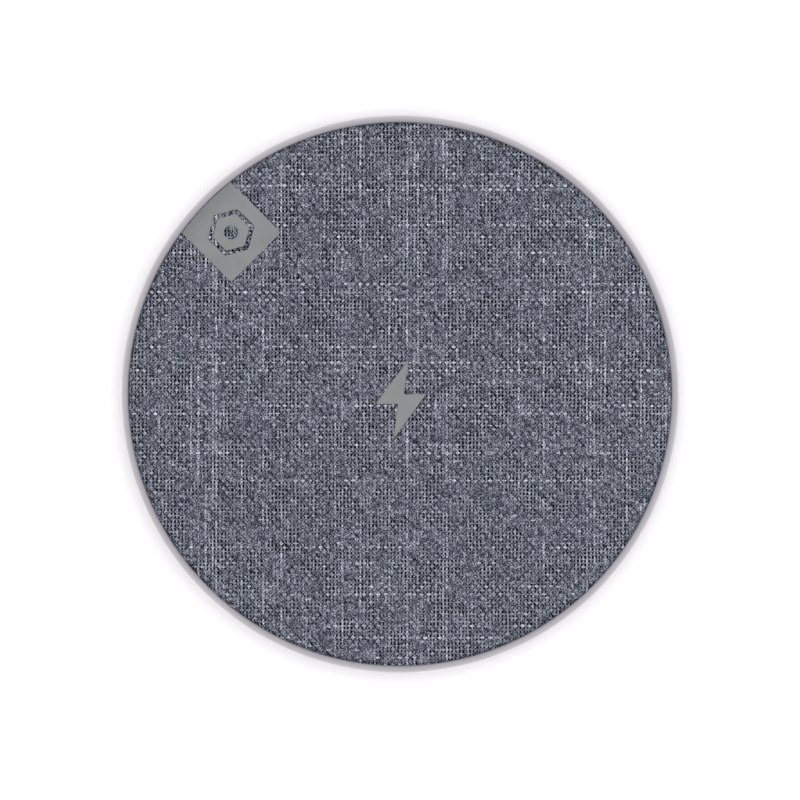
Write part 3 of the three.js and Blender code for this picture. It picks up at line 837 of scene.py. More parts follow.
def litz_material():
    """Fine enamelled copper strands twisted round the wire."""
    s = Shader("litz_copper")
    length, round_share = s.pair("strand")
    twists = length / (2.2 * MM)
    groove = ((twists + round_share * 14.0).part() - 0.5).size() * 2.0
    fine = ((twists * 5.0 + round_share * 70.0).part() - 0.5).size() * 2.0
    wear = s.noise(1.2 * MM, detail=3.0)
    tone = groove * 0.35 + fine * 0.25 + wear * 0.5
    return s.finish(
        Base_Color=s.colours(tone, (0.2, (0.28, 0.10, 0.035)), (0.9, (0.78, 0.36, 0.15))),
        Metallic=0.9,
        Roughness=wear.between(0.3, 0.7, 0.28, 0.42),
        Coat_Weight=0.3,
        Coat_Roughness=0.2,
        Normal=s.bump(groove * -0.7 - fine * 0.2, 0.06 * MM, 0.8),
    )


def package_material():
    """Moulded black epoxy, with a shallow round dimple that marks the first pin."""
    s = Shader("moulded_epoxy")
    stops = (0.2, (0.012, 0.012, 0.014)), (0.8, (0.040, 0.040, 0.044))
    grain = s.noise(0.09 * MM, detail=3.0)
    dimple_out = ((s.x + 1.1 * MM).power(2.0) + (s.y - 1.1 * MM).power(2.0)).power(0.5)
    dimple = dimple_out.between(0.25 * MM, 0.32 * MM, 1.0, 0.0)
    return s.finish(
        Base_Color=s.colours(grain * 0.7 + dimple * 0.3, *stops),
        Roughness=grain.towards(0.2, dimple).between(0.3, 0.7, 0.4, 0.62),
        Normal=s.bump(grain * 0.3 - dimple, 0.04 * MM, 0.7),
    )


def foam_material():
    """Open-cell foam: pores painted darker as shade, between thin walls."""
    s = Shader("open_cell_foam")
    stops = (0.1, (0.045, 0.046, 0.050)), (0.8, (0.010, 0.010, 0.012))
    pores = s.cells(0.35 * MM)
    fine = s.noise(0.2 * MM, detail=3.0)
    return s.finish(
        Base_Color=s.colours(pores * 0.8 + fine * 0.2, *stops),
        Roughness=fine.between(0.3, 0.7, 0.85, 1.0),
        Normal=s.bump(pores * -1.0, 0.12 * MM, 0.8),
    )


def ferrite_material():
    """Sintered ferrite: dull, nearly black and mottled."""
    return grained(
        "sintered_ferrite", (0.030, 0.030, 0.034), 0.12 * MM, 0.015 * MM, (0.4, 0.6), spread=0.25)


def housing_plastic(name, depth):
    return grained(name, (0.034, 0.036, 0.041), 0.28 * MM, depth, (0.48, 0.66))


def floor_material():
    s = Shader("studio_floor")
    mottle = s.noise(150 * MM, detail=3.0)
    return s.finish(
        Base_Color=s.colours(mottle, (0.3, (0.90, 0.90, 0.90)), (0.7, (0.92, 0.92, 0.92))),
        Roughness=0.8,
        Specular_IOR_Level=0.2,
    )


# ---------------------------------------------------------------- housing ring

def ring_bevel(start, corner, end, steps):
    """A convex bevel between two (radius, height) points, bulging towards the corner it replaces."""
    middle = [(a + b) / 2 for a, b in zip(start, end)]
    control = [m + BEVEL_FULLNESS * (c - m) for m, c in zip(middle, corner)]
    return bend(start, control, end, steps)


def ring_outline():
    top_radius = PAD_RADIUS - TOP_BEVEL_INSET
    bottom_radius = PAD_RADIUS - BOTTOM_BEVEL_INSET
    band_bottom = RING_BOTTOM + BEVEL_HEIGHT
    band_top = RING_TOP - BEVEL_HEIGHT
    lower = ring_bevel(
        (bottom_radius, RING_BOTTOM), (PAD_RADIUS, RING_BOTTOM), (PAD_RADIUS, band_bottom), 12)
    upper = ring_bevel((PAD_RADIUS, band_top), (PAD_RADIUS, RING_TOP), (top_radius, RING_TOP), 16)
    return lower + upper + [
        (LIP_RADIUS + LIP_EDGE, RING_TOP),
        (LIP_RADIUS, RING_TOP - LIP_EDGE),
        (LIP_RADIUS, LEDGE_TOP),
        (LEDGE_RADIUS, LEDGE_TOP),
        (LEDGE_RADIUS, LEDGE_BOTTOM),
        (WALL_RADIUS, LEDGE_BOTTOM),
        (WALL_RADIUS, BASE_REBATE_TOP),
        (BASE_REBATE_RADIUS, BASE_REBATE_TOP),
        (BASE_REBATE_RADIUS, RING_BOTTOM),
    ]


def band_cutter(width, height, clearance, chamfer, side):
    """A slot through the band at the back (side 1) or front (side -1), chamfered at its mouth."""
    outside = 2 * MM
    sections = [
        (LEDGE_RADIUS - PAD_RADIUS - 0.5 * MM, clearance),
        (-chamfer, clearance),
        (outside, clearance + chamfer + outside),
    ]
    rings = []
    for depth, growth in sections:
        rings.append([
            (x, side * (math.sqrt(PAD_RADIUS ** 2 - x ** 2) + depth), BAND_MIDDLE + z)
            for x, z in pill(width + 2 * growth, height + 2 * growth)
        ])
    return lofted_mesh("cutter", rings)


def make_ring():
    port = band_cutter(SHELL_WIDTH, SHELL_HEIGHT, SHELL_CLEARANCE, PORT_CHAMFER, 1)
    window = band_cutter(*WINDOW_SIZE, WINDOW_CLEARANCE, WINDOW_CHAMFER, -1)
    mesh = cut_by(turned_mesh("housing_ring_fine", ring_outline()), [port, window])
    # The band's metal is given a darker colour than the bevels' as painted shade; the satin and polished
    # finishes differ in roughness.
    satin = turned_metal("ring_band_satin", (0.50, 0.49, 0.51), (0.62, 0.61, 0.63), 0.26, 0.004 * MM)
    polished = turned_metal(
        "ring_bevel_polished", (0.58, 0.57, 0.59), (0.68, 0.67, 0.69), 0.16, 0.002 * MM)
    add_piece(mesh, "housing_ring", [satin, polished], angle=14)
    for face in mesh.polygons:
        outer_wall = math.hypot(face.center.x, face.center.y) > PAD_RADIUS - 0.005 * MM
        upright = abs(face.normal.z) < 0.05
        face.material_index = 0 if outer_wall and upright else 1


# ---------------------------------------------------------------- tab and mark

def tab_outline(margin=0.0):
    """The tab from above, grown by a margin: round inner corners, and an end that follows the ring."""
    left = TAB_SHIFT + TAB_WIDTH / 2 + margin
    right = TAB_SHIFT - TAB_WIDTH / 2 - margin
    inner = TAB_INNER_RADIUS - margin
    outer = TAB_EDGE_RADIUS + margin
    start, end = (math.degrees(math.asin(side / outer)) for side in (right, left))
    points = arc((0, 0), outer, start, end, 24)
    points += arc((inner + TAB_CORNER, left - TAB_CORNER), TAB_CORNER, 90, 180)
    points += arc((inner + TAB_CORNER, right + TAB_CORNER), TAB_CORNER, 180, 270)
    return turned_points(points, TAB_ANGLE)


def tab_marks():
    """The tab's cut-outs: a hexagon's outline, the island inside it, and a dot in the middle."""
    centre = (TAB_MARK_RADIUS, TAB_SHIFT)
    marks = [
        with_round_corners(arc(centre, reach, 0, 360, 6)[:-1], 0.3 * MM)
        for reach in (TAB_MARK_REACH, TAB_MARK_REACH - TAB_MARK_STROKE)
    ]
    marks.append(arc(centre, TAB_MARK_DOT, 0, 360, 48)[:-1])
    return [turned_points(mark, TAB_ANGLE) for mark in marks]


def bolt_outline(margin=0.0):
    """A plain lightning bolt: two slanted strokes that meet in the middle."""
    x = CHARGE_MARK_SIZE[0] / 2 + margin
    y = CHARGE_MARK_SIZE[1] / 2 + margin
    corners = [
        (0.3 * x, y),
        (-x, -0.12 * y),
        (-0.12 * x, -0.12 * y),
        (-0.3 * x, -y),
        (x, 0.12 * y),
        (0.12 * x, 0.12 * y),
    ]
    moved = [(a + CHARGE_MARK_CENTRE[0], b + CHARGE_MARK_CENTRE[1]) for a, b in corners]
    return with_round_corners(moved, 0.25 * MM)


def make_tab_and_mark():
    bottom = PRESSED_TOP - PATCH_DEPTH
    tab_outlines = [tab_outline(), *tab_marks()]
    tab = bevelled_plate("label_tab_fine", tab_outlines, bottom, CLOTH_TOP + 0.04 * MM, PATCH_EDGE)
    mark = bevelled_plate(
        "charge_mark_fine", [bolt_outline()], bottom, CLOTH_TOP + 0.03 * MM, PATCH_EDGE)
    tab_rubber = rubber_material("tab_rubber", (0.167, 0.174, 0.173), 0.3)
    mark_rubber = rubber_material("mark_rubber", (0.163, 0.176, 0.173), 0.0)
    add_piece(tab, "label_tab", [tab_rubber], angle=50)
    add_piece(mark, "charge_mark", [mark_rubber], angle=50)


# ---------------------------------------------------------------- cloth

def inside(outline, x, y):
    """Which points lie inside an outline."""
    found = np.zeros(x.shape, bool)
    for (ax, ay), (bx, by) in zip(outline, outline[1:] + outline[:1]):
        if ay != by:
            crosses = (ay > y) != (by > y)
            found ^= crosses & (x < (bx - ax) * (y - ay) / (by - ay) + ax)
    return found


def wander(threads, places, random):
    """How far each thread strays sideways at each place: partly steady, partly slowly changing."""
    steady = random.normal(size=(threads, 1)) * 0.7
    window = np.hanning(13)
    window /= math.sqrt((window ** 2).sum())
    loose = random.normal(size=(threads, places))
    slow = np.array([np.convolve(line, window, "same") for line in loose])
    return (steady + slow) * THREAD_WANDER


def halfway(strays):
    """The strays of the threads, and of the places halfway between two of them."""
    full = np.zeros((2 * len(strays) - 1, strays.shape[1]))
    full[::2] = strays
    full[1::2] = (strays[:-1] + strays[1:]) / 2
    return full


def weave_lattice():
    """The woven face, two squares to a thread each way: x, y, height, and place in the weave."""
    threads_x = math.ceil(CLOTH_RADIUS / WARP_PITCH) + 1
    threads_y = math.ceil(CLOTH_RADIUS / WEFT_PITCH) + 1
    column = np.arange(-2 * threads_x, 2 * threads_x + 1)
    row = np.arange(-2 * threads_y, 2 * threads_y + 1)
    columns, rows = np.meshgrid(column, row, indexing="ij")
    random = np.random.default_rng(7)
    stray_x = halfway(wander(2 * threads_x + 1, len(row), random))
    stray_y = halfway(wander(2 * threads_y + 1, len(column), random)).T

    # Threads cross at the even points. Where both are odd is the gap between four threads.
    odd_x = columns % 2 != 0
    odd_y = rows % 2 != 0
    height = np.where(odd_x & odd_y, 0.0, np.where(odd_x, 0.75, np.where(odd_y, 0.97, 1.0)))
    upper = np.where((columns // 2 + rows // 2) % 2 == 0, 1, -1)
    u = columns / 2 + np.where(odd_x & ~odd_y, -upper * THREAD_LEAN, 0.0)
    v = rows / 2 + np.where(odd_y & ~odd_x, upper * THREAD_LEAN, 0.0)
    return (u + stray_x) * WARP_PITCH, (v + stray_y) * WEFT_PITCH, height, u, v


def squares_in_disc(x, y, radius):
    """The lattice squares inside a circle, the points they use, and which of those are on the border."""
    middle_x = (x[:-1, :-1] + x[1:, 1:]) / 2
    middle_y = (y[:-1, :-1] + y[1:, 1:]) / 2
    kept = np.hypot(middle_x, middle_y) < radius
    around = np.zeros(x.shape, int)
    for shift_x in (0, 1):
        for shift_y in (0, 1):
            around[shift_x:shift_x + kept.shape[0], shift_y:shift_y + kept.shape[1]] += kept
    used = around > 0
    return kept, used, used & (around < 4)


def cloth_face():
    """The woven face: its points, their places in the weave, its squares, and its rim's point numbers."""
    x, y, height, u, v = weave_lattice()
    kept, used, border = squares_in_disc(x, y, CLOTH_FLAT_RADIUS)
    stretch = np.where(border, CLOTH_FLAT_RADIUS / np.maximum(np.hypot(x, y), MM), 1.0)
    margin = -0.05 * MM
    pressed = inside(tab_outline(margin), x, y) | inside(bolt_outline(margin), x, y)
    z = np.where(pressed, PRESSED_TOP, CLOTH_TOP) - THREAD_RELIEF * (1 - height)
    z = np.where(border & ~pressed, CLOTH_RIM_HEIGHT, z)
    points = np.stack([x * stretch, y * stretch, z], axis=-1)[used]
    weave = np.stack([u * stretch, v * stretch], axis=-1)[used]

    number = np.full(x.shape, -1)
    number[used] = np.arange(used.sum())
    a, b = np.nonzero(kept)
    corners = [number[a, b], number[a + 1, b], number[a + 1, b + 1], number[a, b + 1]]
    squares = [tuple(square) for square in np.stack(corners, axis=1)]
    rim = number[border]
    return points, weave, squares, rim[np.argsort(np.arctan2(points[rim, 1], points[rim, 0]))]


def cloth_edge_profile():
    """(radius, height) down the turned edge and the skirt, then in under the cloth."""
    turn = [
        (
            CLOTH_FLAT_RADIUS + CLOTH_EDGE * math.sin(angle),
            CLOTH_RIM_HEIGHT - CLOTH_EDGE * 0.7 * (1 - math.cos(angle)),
        )
        for angle in np.radians((15, 30, 45, 60, 75, 90))
    ]
    inner = CLOTH_RADIUS - SKIRT_THICKNESS
    underside = low("label_tab").z
    return turn + [(CLOTH_RADIUS, SKIRT_BOTTOM), (inner, SKIRT_BOTTOM), (inner, underside)]


def make_cloth():
    face, weave, faces, rim = cloth_face()
    angles = np.arctan2(face[rim, 1], face[rim, 0])
    pressed_by = np.minimum(face[rim, 2] - CLOTH_RIM_HEIGHT, 0.0)
    groove_top = LEDGE_TOP + 1.5 * MM
    layers = [face]
    places = [weave]
    last = list(rim)
    count = len(face)
    run = CLOTH_FLAT_RADIUS
    at = (CLOTH_FLAT_RADIUS, CLOTH_TOP)
    for radius, level in cloth_edge_profile():
        run += math.dist(at, (radius, level))
        at = (radius, level)
        heights = np.maximum(level + pressed_by * (level > groove_top), SKIRT_BOTTOM)
        layers.append(np.stack([radius * np.cos(angles), radius * np.sin(angles), heights], axis=1))
        places.append(np.stack(
            [run / WARP_PITCH * np.cos(angles), run / WEFT_PITCH * np.sin(angles)], axis=1))
        here = list(range(count, count + len(angles)))
        for index in range(len(here)):
            after = (index + 1) % len(here)
            faces.append((last[index], here[index], here[after], last[after]))
        last = here
        count += len(here)
    faces.append(tuple(reversed(last)))

    mesh = new_mesh("cloth_cover", np.concatenate(layers), faces)
    keep_pairs(mesh, "weave", np.concatenate(places))
    cloth = add_piece(
        mesh, "fabric_cover", [cloth_material()], name="cloth_cover", angle=80)


# ---------------------------------------------------------------- receptacle and status light

def make_port_shell():
    """A rolled steel tube with rounded lips at its mouth."""
    edge = SHELL_WALL / 2
    lip_start = math.degrees(0.2)
    section = [
        (0, SHELL_BACK),
        (0, SHELL_FRONT - edge),
        *arc((edge, SHELL_FRONT - edge), edge, 180 - lip_start, lip_start, 6),
        (SHELL_WALL, SHELL_FRONT - edge),
        (SHELL_WALL, SHELL_BACK),
        (0, SHELL_BACK),
    ]
    rings = pill_rings(section, SHELL_WIDTH, SHELL_HEIGHT)
    mesh = lofted_mesh("port_shell_fine", rings, capped=False)
    weld(mesh)
    steel = drawn_metal("port_steel", (0.55, 0.56, 0.58), (0.74, 0.75, 0.77), 0.24)
    add_piece(mesh, "port_shell", [steel], angle=50)


def make_port_tongue():
    """The plastic tongue, with a row of gilt contacts on each face."""
    back = low("port_tongue").y
    root = SHELL_BACK + 2 * MM
    tip = high("port_tongue").y
    half_width = 3.345 * MM
    half_thickness = 0.35 * MM
    inset = SHELL_WALL + 0.05 * MM
    rear = lofted_mesh("rear", pill_rings([(inset, back), (inset, root)], SHELL_WIDTH, SHELL_HEIGHT))
    tongue = block(
        (-half_width, root - 0.1 * MM, BAND_MIDDLE - half_thickness),
        (half_width, tip, BAND_MIDDLE + half_thickness),
        0.12 * MM,
    )
    parts = [(rear, 0), (tongue, 0)]
    contacts = 12
    contact_pitch = 0.5 * MM
    contact_half = 0.13 * MM
    contact_proud = 0.02 * MM
    for side in (-1, 1):
        face = BAND_MIDDLE + side * half_thickness
        for index in range(contacts):
            x = (index - (contacts - 1) / 2) * contact_pitch
            contact = block(
                (x - contact_half, root + 0.3 * MM, face - contact_proud),
                (x + contact_half, tip - 0.7 * MM, face + contact_proud),
                0.008 * MM,
                1,
            )
            parts.append((contact, 1))
    plastic = grained("port_plastic", (0.010, 0.010, 0.012), 0.06 * MM, 0.01 * MM, (0.35, 0.5))
    gilt = drawn_metal("gilt_contacts", (0.66, 0.44, 0.16), (0.86, 0.62, 0.28), 0.22)
    add_piece(gathered("port_tongue_fine", *parts), "port_tongue", [plastic, gilt])


def make_light_guide():
    """The pill-shaped window in the band, on the foot that stands over the LED."""
    front = low("light_guide").y
    back = front + WINDOW_DEPTH
    edge = 0.12 * MM
    section = [(0, back), *arc((edge, front + edge), edge, 180, 270, 4)]
    nose = lofted_mesh("nose", pill_rings(section, *WINDOW_SIZE))
    foot_low = low("light_guide")
    foot_high = high("light_guide")
    foot = block((foot_low.x, back - 0.05 * MM, foot_low.z), tuple(foot_high), 0.15 * MM)
    mesh = gathered("light_guide_fine", (nose, 0), (foot, 0))
    add_piece(mesh, "light_guide", [window_material()])


# ---------------------------------------------------------------- base and foot ring

def base_outline():
    """The base's section: the foot ring's recess below, and the two ribs that carry the board above."""
    radius = high("base_cover").x
    edge = 0.12 * MM
    rib_width = MM
    rib_top = low("circuit_board").z - 0.03 * MM
    lifted = BASE_BOTTOM + edge
    return [
        (0, BASE_BOTTOM),
        (FOOT_INNER - edge, BASE_BOTTOM),
        (FOOT_INNER, lifted),
        (FOOT_INNER, FOOT_RECESS_TOP),
        (FOOT_OUTER, FOOT_RECESS_TOP),
        (FOOT_OUTER, lifted),
        (FOOT_OUTER + edge, BASE_BOTTOM),
        (radius - edge, BASE_BOTTOM),
        (radius, lifted),
        (radius, BASE_TOP),
        *[
            point
            for rib in (53.5 * MM, 34 * MM)
            for point in (
                (rib + rib_width, BASE_TOP),
                (rib + rib_width, rib_top),
                (rib, rib_top),
                (rib, BASE_TOP),
            )
        ],
        (0, BASE_TOP),
    ]


def small_turned(outline, angle):
    """A turned solid on the circle of screws."""
    mesh = turned_mesh("small", outline, 48)
    for vertex in mesh.vertices:
        vertex.co.x += SCREW_CIRCLE * math.cos(angle)
        vertex.co.y += SCREW_CIRCLE * math.sin(angle)
    weld(mesh)
    return mesh


def make_base():
    plate = turned_mesh("base_cover_fine", base_outline())
    weld(plate)
    boss_radius = 2.5 * MM
    boss_top = 4.6 * MM
    boss_root = BASE_TOP - 0.1 * MM
    head_space = 2.25 * MM
    clearance = 1.15 * MM
    above = boss_top + MM
    boss = [(0, boss_root), (boss_radius, boss_root), (boss_radius, boss_top), (0, boss_top)]
    hole = [
        (0, 0),
        (head_space, 0),
        (head_space, FOOT_RECESS_TOP),
        (clearance, FOOT_RECESS_TOP + head_space - clearance),
        (clearance, above),
        (0, above),
    ]
    angles = np.radians((45, 135, 225, 315))
    bosses = [small_turned(boss, angle) for angle in angles]
    holes = [small_turned(hole, angle) for angle in angles]
    mesh = cut_by(plate, holes, added=bosses)
    plastic = housing_plastic("housing_plastic", 0.035 * MM)
    add_piece(mesh, "base_cover", [plastic])


def make_foot_ring():
    inner = FOOT_INNER + FOOT_CLEARANCE
    outer = FOOT_OUTER - FOOT_CLEARANCE
    edge = 0.22 * MM
    top = high("foot_ring").z
    outline = arc((inner + edge, edge), edge, 180, 270, 5)
    outline += arc((outer - edge, edge), edge, 270, 360, 5)
    outline += [(outer, top), (inner, top)]
    mesh = turned_mesh("foot_ring_fine", outline)
    outwards(mesh)
    silicone = grained(
        "foot_silicone", (0.064, 0.068, 0.076), 0.18 * MM, 0.02 * MM, (0.7, 0.85), spread=0.12)
    add_piece(mesh, "foot_ring", [silicone])


# ---------------------------------------------------------------- board parts

class Footprint:
    """Where a board part stands: its turn, its place, and its size along its own axes."""

    def __init__(self, node):
        self.node = node
        middle = (low(node) + high(node)) / 2
        self.turn = math.atan2(middle.y, middle.x) - math.pi / 2
        self.place = Vector((middle.x, middle.y, low(node).z))
        corners = np.array([vertex.co[:2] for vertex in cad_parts[node].data.vertices])
        across = (math.cos(self.turn), math.sin(self.turn))
        along = (-across[1], across[0])
        self.width = np.ptp(corners @ across)
        self.depth = np.ptp(corners @ along)
        self.height = high(node).z - low(node).z

    def stand(self, slot, materials, *parts):
        """Adds the part's (mesh, material number) parts as one piece in its place."""
        mesh = gathered(f"{self.node}_fine", *parts)
        add_piece(mesh, self.node, materials, place=self.place, turn=self.turn)


def make_package(node, pads, looks):
    """A flat moulded chip, with solder pads showing along its lower edges."""
    seen = Footprint(node)
    slim = 0.06 * MM
    body = block_over(seen.width - slim, seen.depth - slim, 0.02 * MM, seen.height, 0.05 * MM)
    parts = [(body, 0)]
    pitch = 0.72 * min(seen.width, seen.depth) / (pads - 1)
    size = 0.45 * pitch
    inset = 0.2 * MM
    pad_top = 0.22 * MM
    pad_edge = 0.02 * MM
    for side in (-1, 1):
        x = side * (seen.width - inset) / 2
        y = side * (seen.depth - inset) / 2
        for index in range(pads):
            shift = (index - (pads - 1) / 2) * pitch
            parts.append((block_over(inset, size, 0, pad_top, pad_edge, x=x, y=shift), 1))
            parts.append((block_over(size, inset, 0, pad_top, pad_edge, x=shift, y=y), 1))
    seen.stand("chip", [looks["epoxy"], looks["tin"]], *parts)


def make_two_ended(node, slot, looks, body, cap_share=0.2):
    """A part with a metal cap at each end of its longer side."""
    seen = Footprint(node)
    along_x = seen.width > seen.depth
    half = max(seen.width, seen.depth) / 2
    across = min(seen.width, seen.depth)
    cap = cap_share * 2 * half
    slim = 0.08 * MM

    def span(start, end, side, top, edge):
        low_corner, high_corner = (start, -side / 2), (end, side / 2)
        if not along_x:
            low_corner, high_corner = low_corner[::-1], high_corner[::-1]
        return block((*low_corner, slim / 2), (*high_corner, top), edge)

    middle = span(cap / 2 - half, half - cap / 2, across - slim, seen.height - slim / 2, 0.1 * MM)
    left = span(-half, cap - half, across, seen.height, 0.12 * MM)
    right = span(half - cap, half, across, seen.height, 0.12 * MM)
    seen.stand(slot, [body, looks["tin"]], (middle, 0), (left, 1), (right, 1))


def make_inductor(looks):
    """A pressed ferrite block with a shallow round step on top and flat terminals at two sides."""
    seen = Footprint("power_inductor")
    top = seen.height
    step = 0.15 * MM
    slim = 0.1 * MM
    body = block_over(seen.width - slim, seen.depth - slim, 0.1 * MM, top - step, 0.35 * MM)
    lid_radius = 3.1 * MM
    lid_edge = 0.05 * MM
    lid = turned_mesh("lid", [
        (0, top - 2 * step),
        (lid_radius, top - 2 * step),
        (lid_radius, top - lid_edge),
        (lid_radius - lid_edge, top),
        (0, top),
    ], 64)
    weld(lid)
    parts = [(body, 0), (lid, 0)]
    terminal_width = 2.6 * MM
    terminal_depth = 1.2 * MM
    for side in (-1, 1):
        y = side * (seen.depth - terminal_depth) / 2
        parts.append((block_over(terminal_width, terminal_depth, 0, 1.1 * MM, 0.05 * MM, y=y), 1))
    seen.stand("ferrite", [looks["ferrite"], looks["tin"]], *parts)


def make_crystal(looks):
    """A crystal: a ceramic base under a drawn metal lid."""
    seen = Footprint("crystal")
    rim = 0.4 * MM
    base = block_over(seen.width, seen.depth, 0, 0.35 * MM, 0.04 * MM)
    lid = block_over(seen.width - rim, seen.depth - rim, 0.3 * MM, seen.height, 0.1 * MM)
    seen.stand("port_steel", [looks["tin"], looks["ceramic"]], (base, 1), (lid, 0))


def make_led():
    """The LED: a white body with a yellow phosphor window on its outer side."""
    body_low, body_high = low("led_chip"), high("led_chip")
    body = block(tuple(body_low), tuple(body_high), 0.08 * MM)
    middle = (body_low.z + body_high.z) / 2
    half_width = 0.95 * MM
    half_height = 0.28 * MM
    phosphor = block(
        (-half_width, body_low.y - 0.02 * MM, middle - half_height),
        (half_width, body_low.y + 0.2 * MM, middle + half_height),
        0.04 * MM,
    )
    white = grained("led_body", (0.75, 0.74, 0.70), 0.08 * MM, 0.006 * MM, (0.35, 0.5), spread=0.04)
    yellow = grained(
        "led_phosphor", (0.85, 0.62, 0.08), 0.05 * MM, 0.006 * MM, (0.2, 0.3), spread=0.1)
    mesh = gathered("led_chip_fine", (body, 0), (phosphor, 1))
    add_piece(mesh, "led_chip", [white, yellow])


def make_board_parts(ferrite):
    looks = {
        "epoxy": package_material(),
        "tin": drawn_metal("tinned_metal", (0.56, 0.56, 0.57), (0.76, 0.76, 0.77), 0.3),
        "ferrite": ferrite,
        "ceramic": grained(
            "capacitor_ceramic", (0.40, 0.26, 0.13), 0.05 * MM, 0.006 * MM, (0.4, 0.5)),
    }
    film = grained(
        "capacitor_film", (0.21, 0.035, 0.018), 0.3 * MM, 0.02 * MM, (0.25, 0.35), Coat_Weight=0.4)
    make_package("controller_chip", 8, looks)
    make_package("driver_chip", 6, looks)
    for number in range(1, 5):
        make_package(f"mosfet_{number}", 4, looks)
        make_two_ended(f"resonant_capacitor_{number}", "capacitor_film", looks, film, cap_share=0.14)
    for number in (1, 2):
        make_two_ended(f"input_capacitor_{number}", "capacitor_ceramic", looks, looks["ceramic"])
    make_two_ended("sense_resistor", "chip", looks, looks["epoxy"], cap_share=0.18)
    make_inductor(looks)
    make_crystal(looks)
    make_led()


# ---------------------------------------------------------------- coil stack

def strand_places(length, sides):
    """For each point round a wire: how far along the wire it is, and its share of the way round."""
    return [(length, abs(side / sides - 0.5) * 2) for side in range(sides)]


def make_coil():
    """Litz wire wound in two flat layers, each a spiral of oval section."""
    inner, outer = 10.25 * MM, high("coil_winding").x
    bottom, top = low("coil_winding").z, high("coil_winding").z
    turns = 10
    steps = 72
    sides = 14
    half_wide = (outer - inner) / (turns + 1) / 2
    half_tall = (top - bottom) / 4
    fill = 0.98  # the wire's size as a share of its space
    vertices = []
    faces = []
    strand = []
    for layer in (0, 1):
        height = bottom + half_tall * (1 + 2 * layer)
        length = 0.0
        first = len(vertices)
        for step in range(turns * steps + 1):
            angle = 2 * math.pi * step / steps * (1 if layer == 0 else -1)
            radius = inner + half_wide + 2 * half_wide * step / steps
            for turn in np.arange(sides) * 2 * math.pi / sides:
                out = radius + fill * half_wide * math.cos(turn)
                level = height + fill * half_tall * math.sin(turn)
                vertices.append((out * math.cos(angle), out * math.sin(angle), level))
            strand += strand_places(length, sides)
            length += 2 * math.pi * radius / steps
        for step in range(turns * steps):
            here = first + step * sides
            for side in range(sides):
                after = (side + 1) % sides
                faces.append((here + side, here + after, here + sides + after, here + sides + side))
        faces.append(tuple(range(first, first + sides)))
        faces.append(tuple(range(len(vertices) - sides, len(vertices))))
    mesh = new_mesh("coil_winding_fine", vertices, faces)
    outwards(mesh)
    keep_pairs(mesh, "strand", strand)
    copper = litz_material()
    add_piece(mesh, "coil_winding", [copper], angle=60)
    return copper


def make_coil_leads(copper):
    """The coil's two ends, out to the board. Their routes are in millimetres."""
    lead_end = high("circuit_board").z / MM + 0.61
    routes = {
        "coil_lead_inner": [
            (8.95, -3.3, 6.95),
            (8.1, -1.9, 6.5),
            (8, -0.9, 5.6),
            (10.5, -0.9, 5.1),
            (18, -0.9, 5.1),
            (27, -0.9, 5.1),
            (32, -0.9, 4.7),
            (36.5, -0.9, lead_end),
        ],
        "coil_lead_outer": [
            (16.1, -16.1, 7),
            (19.8, -11.45, 7),
            (23.3, -7.6, 6.95),
            (26.6, -5.8, 6.8),
            (29.5, -4.8, 5.8),
            (32.5, -4.2, 4.7),
            (36.5, -3.9, lead_end),
        ],
    }
    radius = 0.55 * MM
    sides = 16
    for node, points in routes.items():
        route = smooth_route([Vector(point) * MM for point in points])
        mesh = tube_mesh(f"{node}_fine", route, radius, sides)
        length = 0.0
        strand = []
        for before, point in zip(route[:1] + route, route):
            length += (point - before).length
            strand += strand_places(length, sides)
        keep_pairs(mesh, "strand", strand)
        add_piece(mesh, node, [copper], angle=60)


def make_foam():
    """The foam pad under the ferrite: pressed flat above and below, with sides that bulge."""
    radius = high("foam_spacer").x
    bottom, top = low("foam_spacer").z, high("foam_spacer").z
    middle, half_height = (bottom + top) / 2, (top - bottom) / 2
    bulge = 0.55 * MM
    roughness = 0.05 * MM
    side = [
        (radius - bulge + bulge * math.cos(turn), middle + half_height * math.sin(turn))
        for turn in np.linspace(-math.pi / 2, math.pi / 2, 13)
    ]
    under = [(radius * share, bottom) for share in (0, 0.5, 0.9)]
    over = [(radius * share, top) for share in (0.9, 0.5, 0)]
    mesh = turned_mesh("foam_spacer_fine", [*under, *side, *over], 240)
    weld(mesh)
    random = np.random.default_rng(11)
    for vertex in mesh.vertices:
        out = math.hypot(vertex.co.x, vertex.co.y)
        if out > radius * 0.95:
            shrink = 1 - random.uniform(0, roughness) / out
            vertex.co.x *= shrink
            vertex.co.y *= shrink
    foam = add_piece(mesh, "foam_spacer", [foam_material()], angle=60)


# ---------------------------------------------------------------- pieces that keep the model's shape

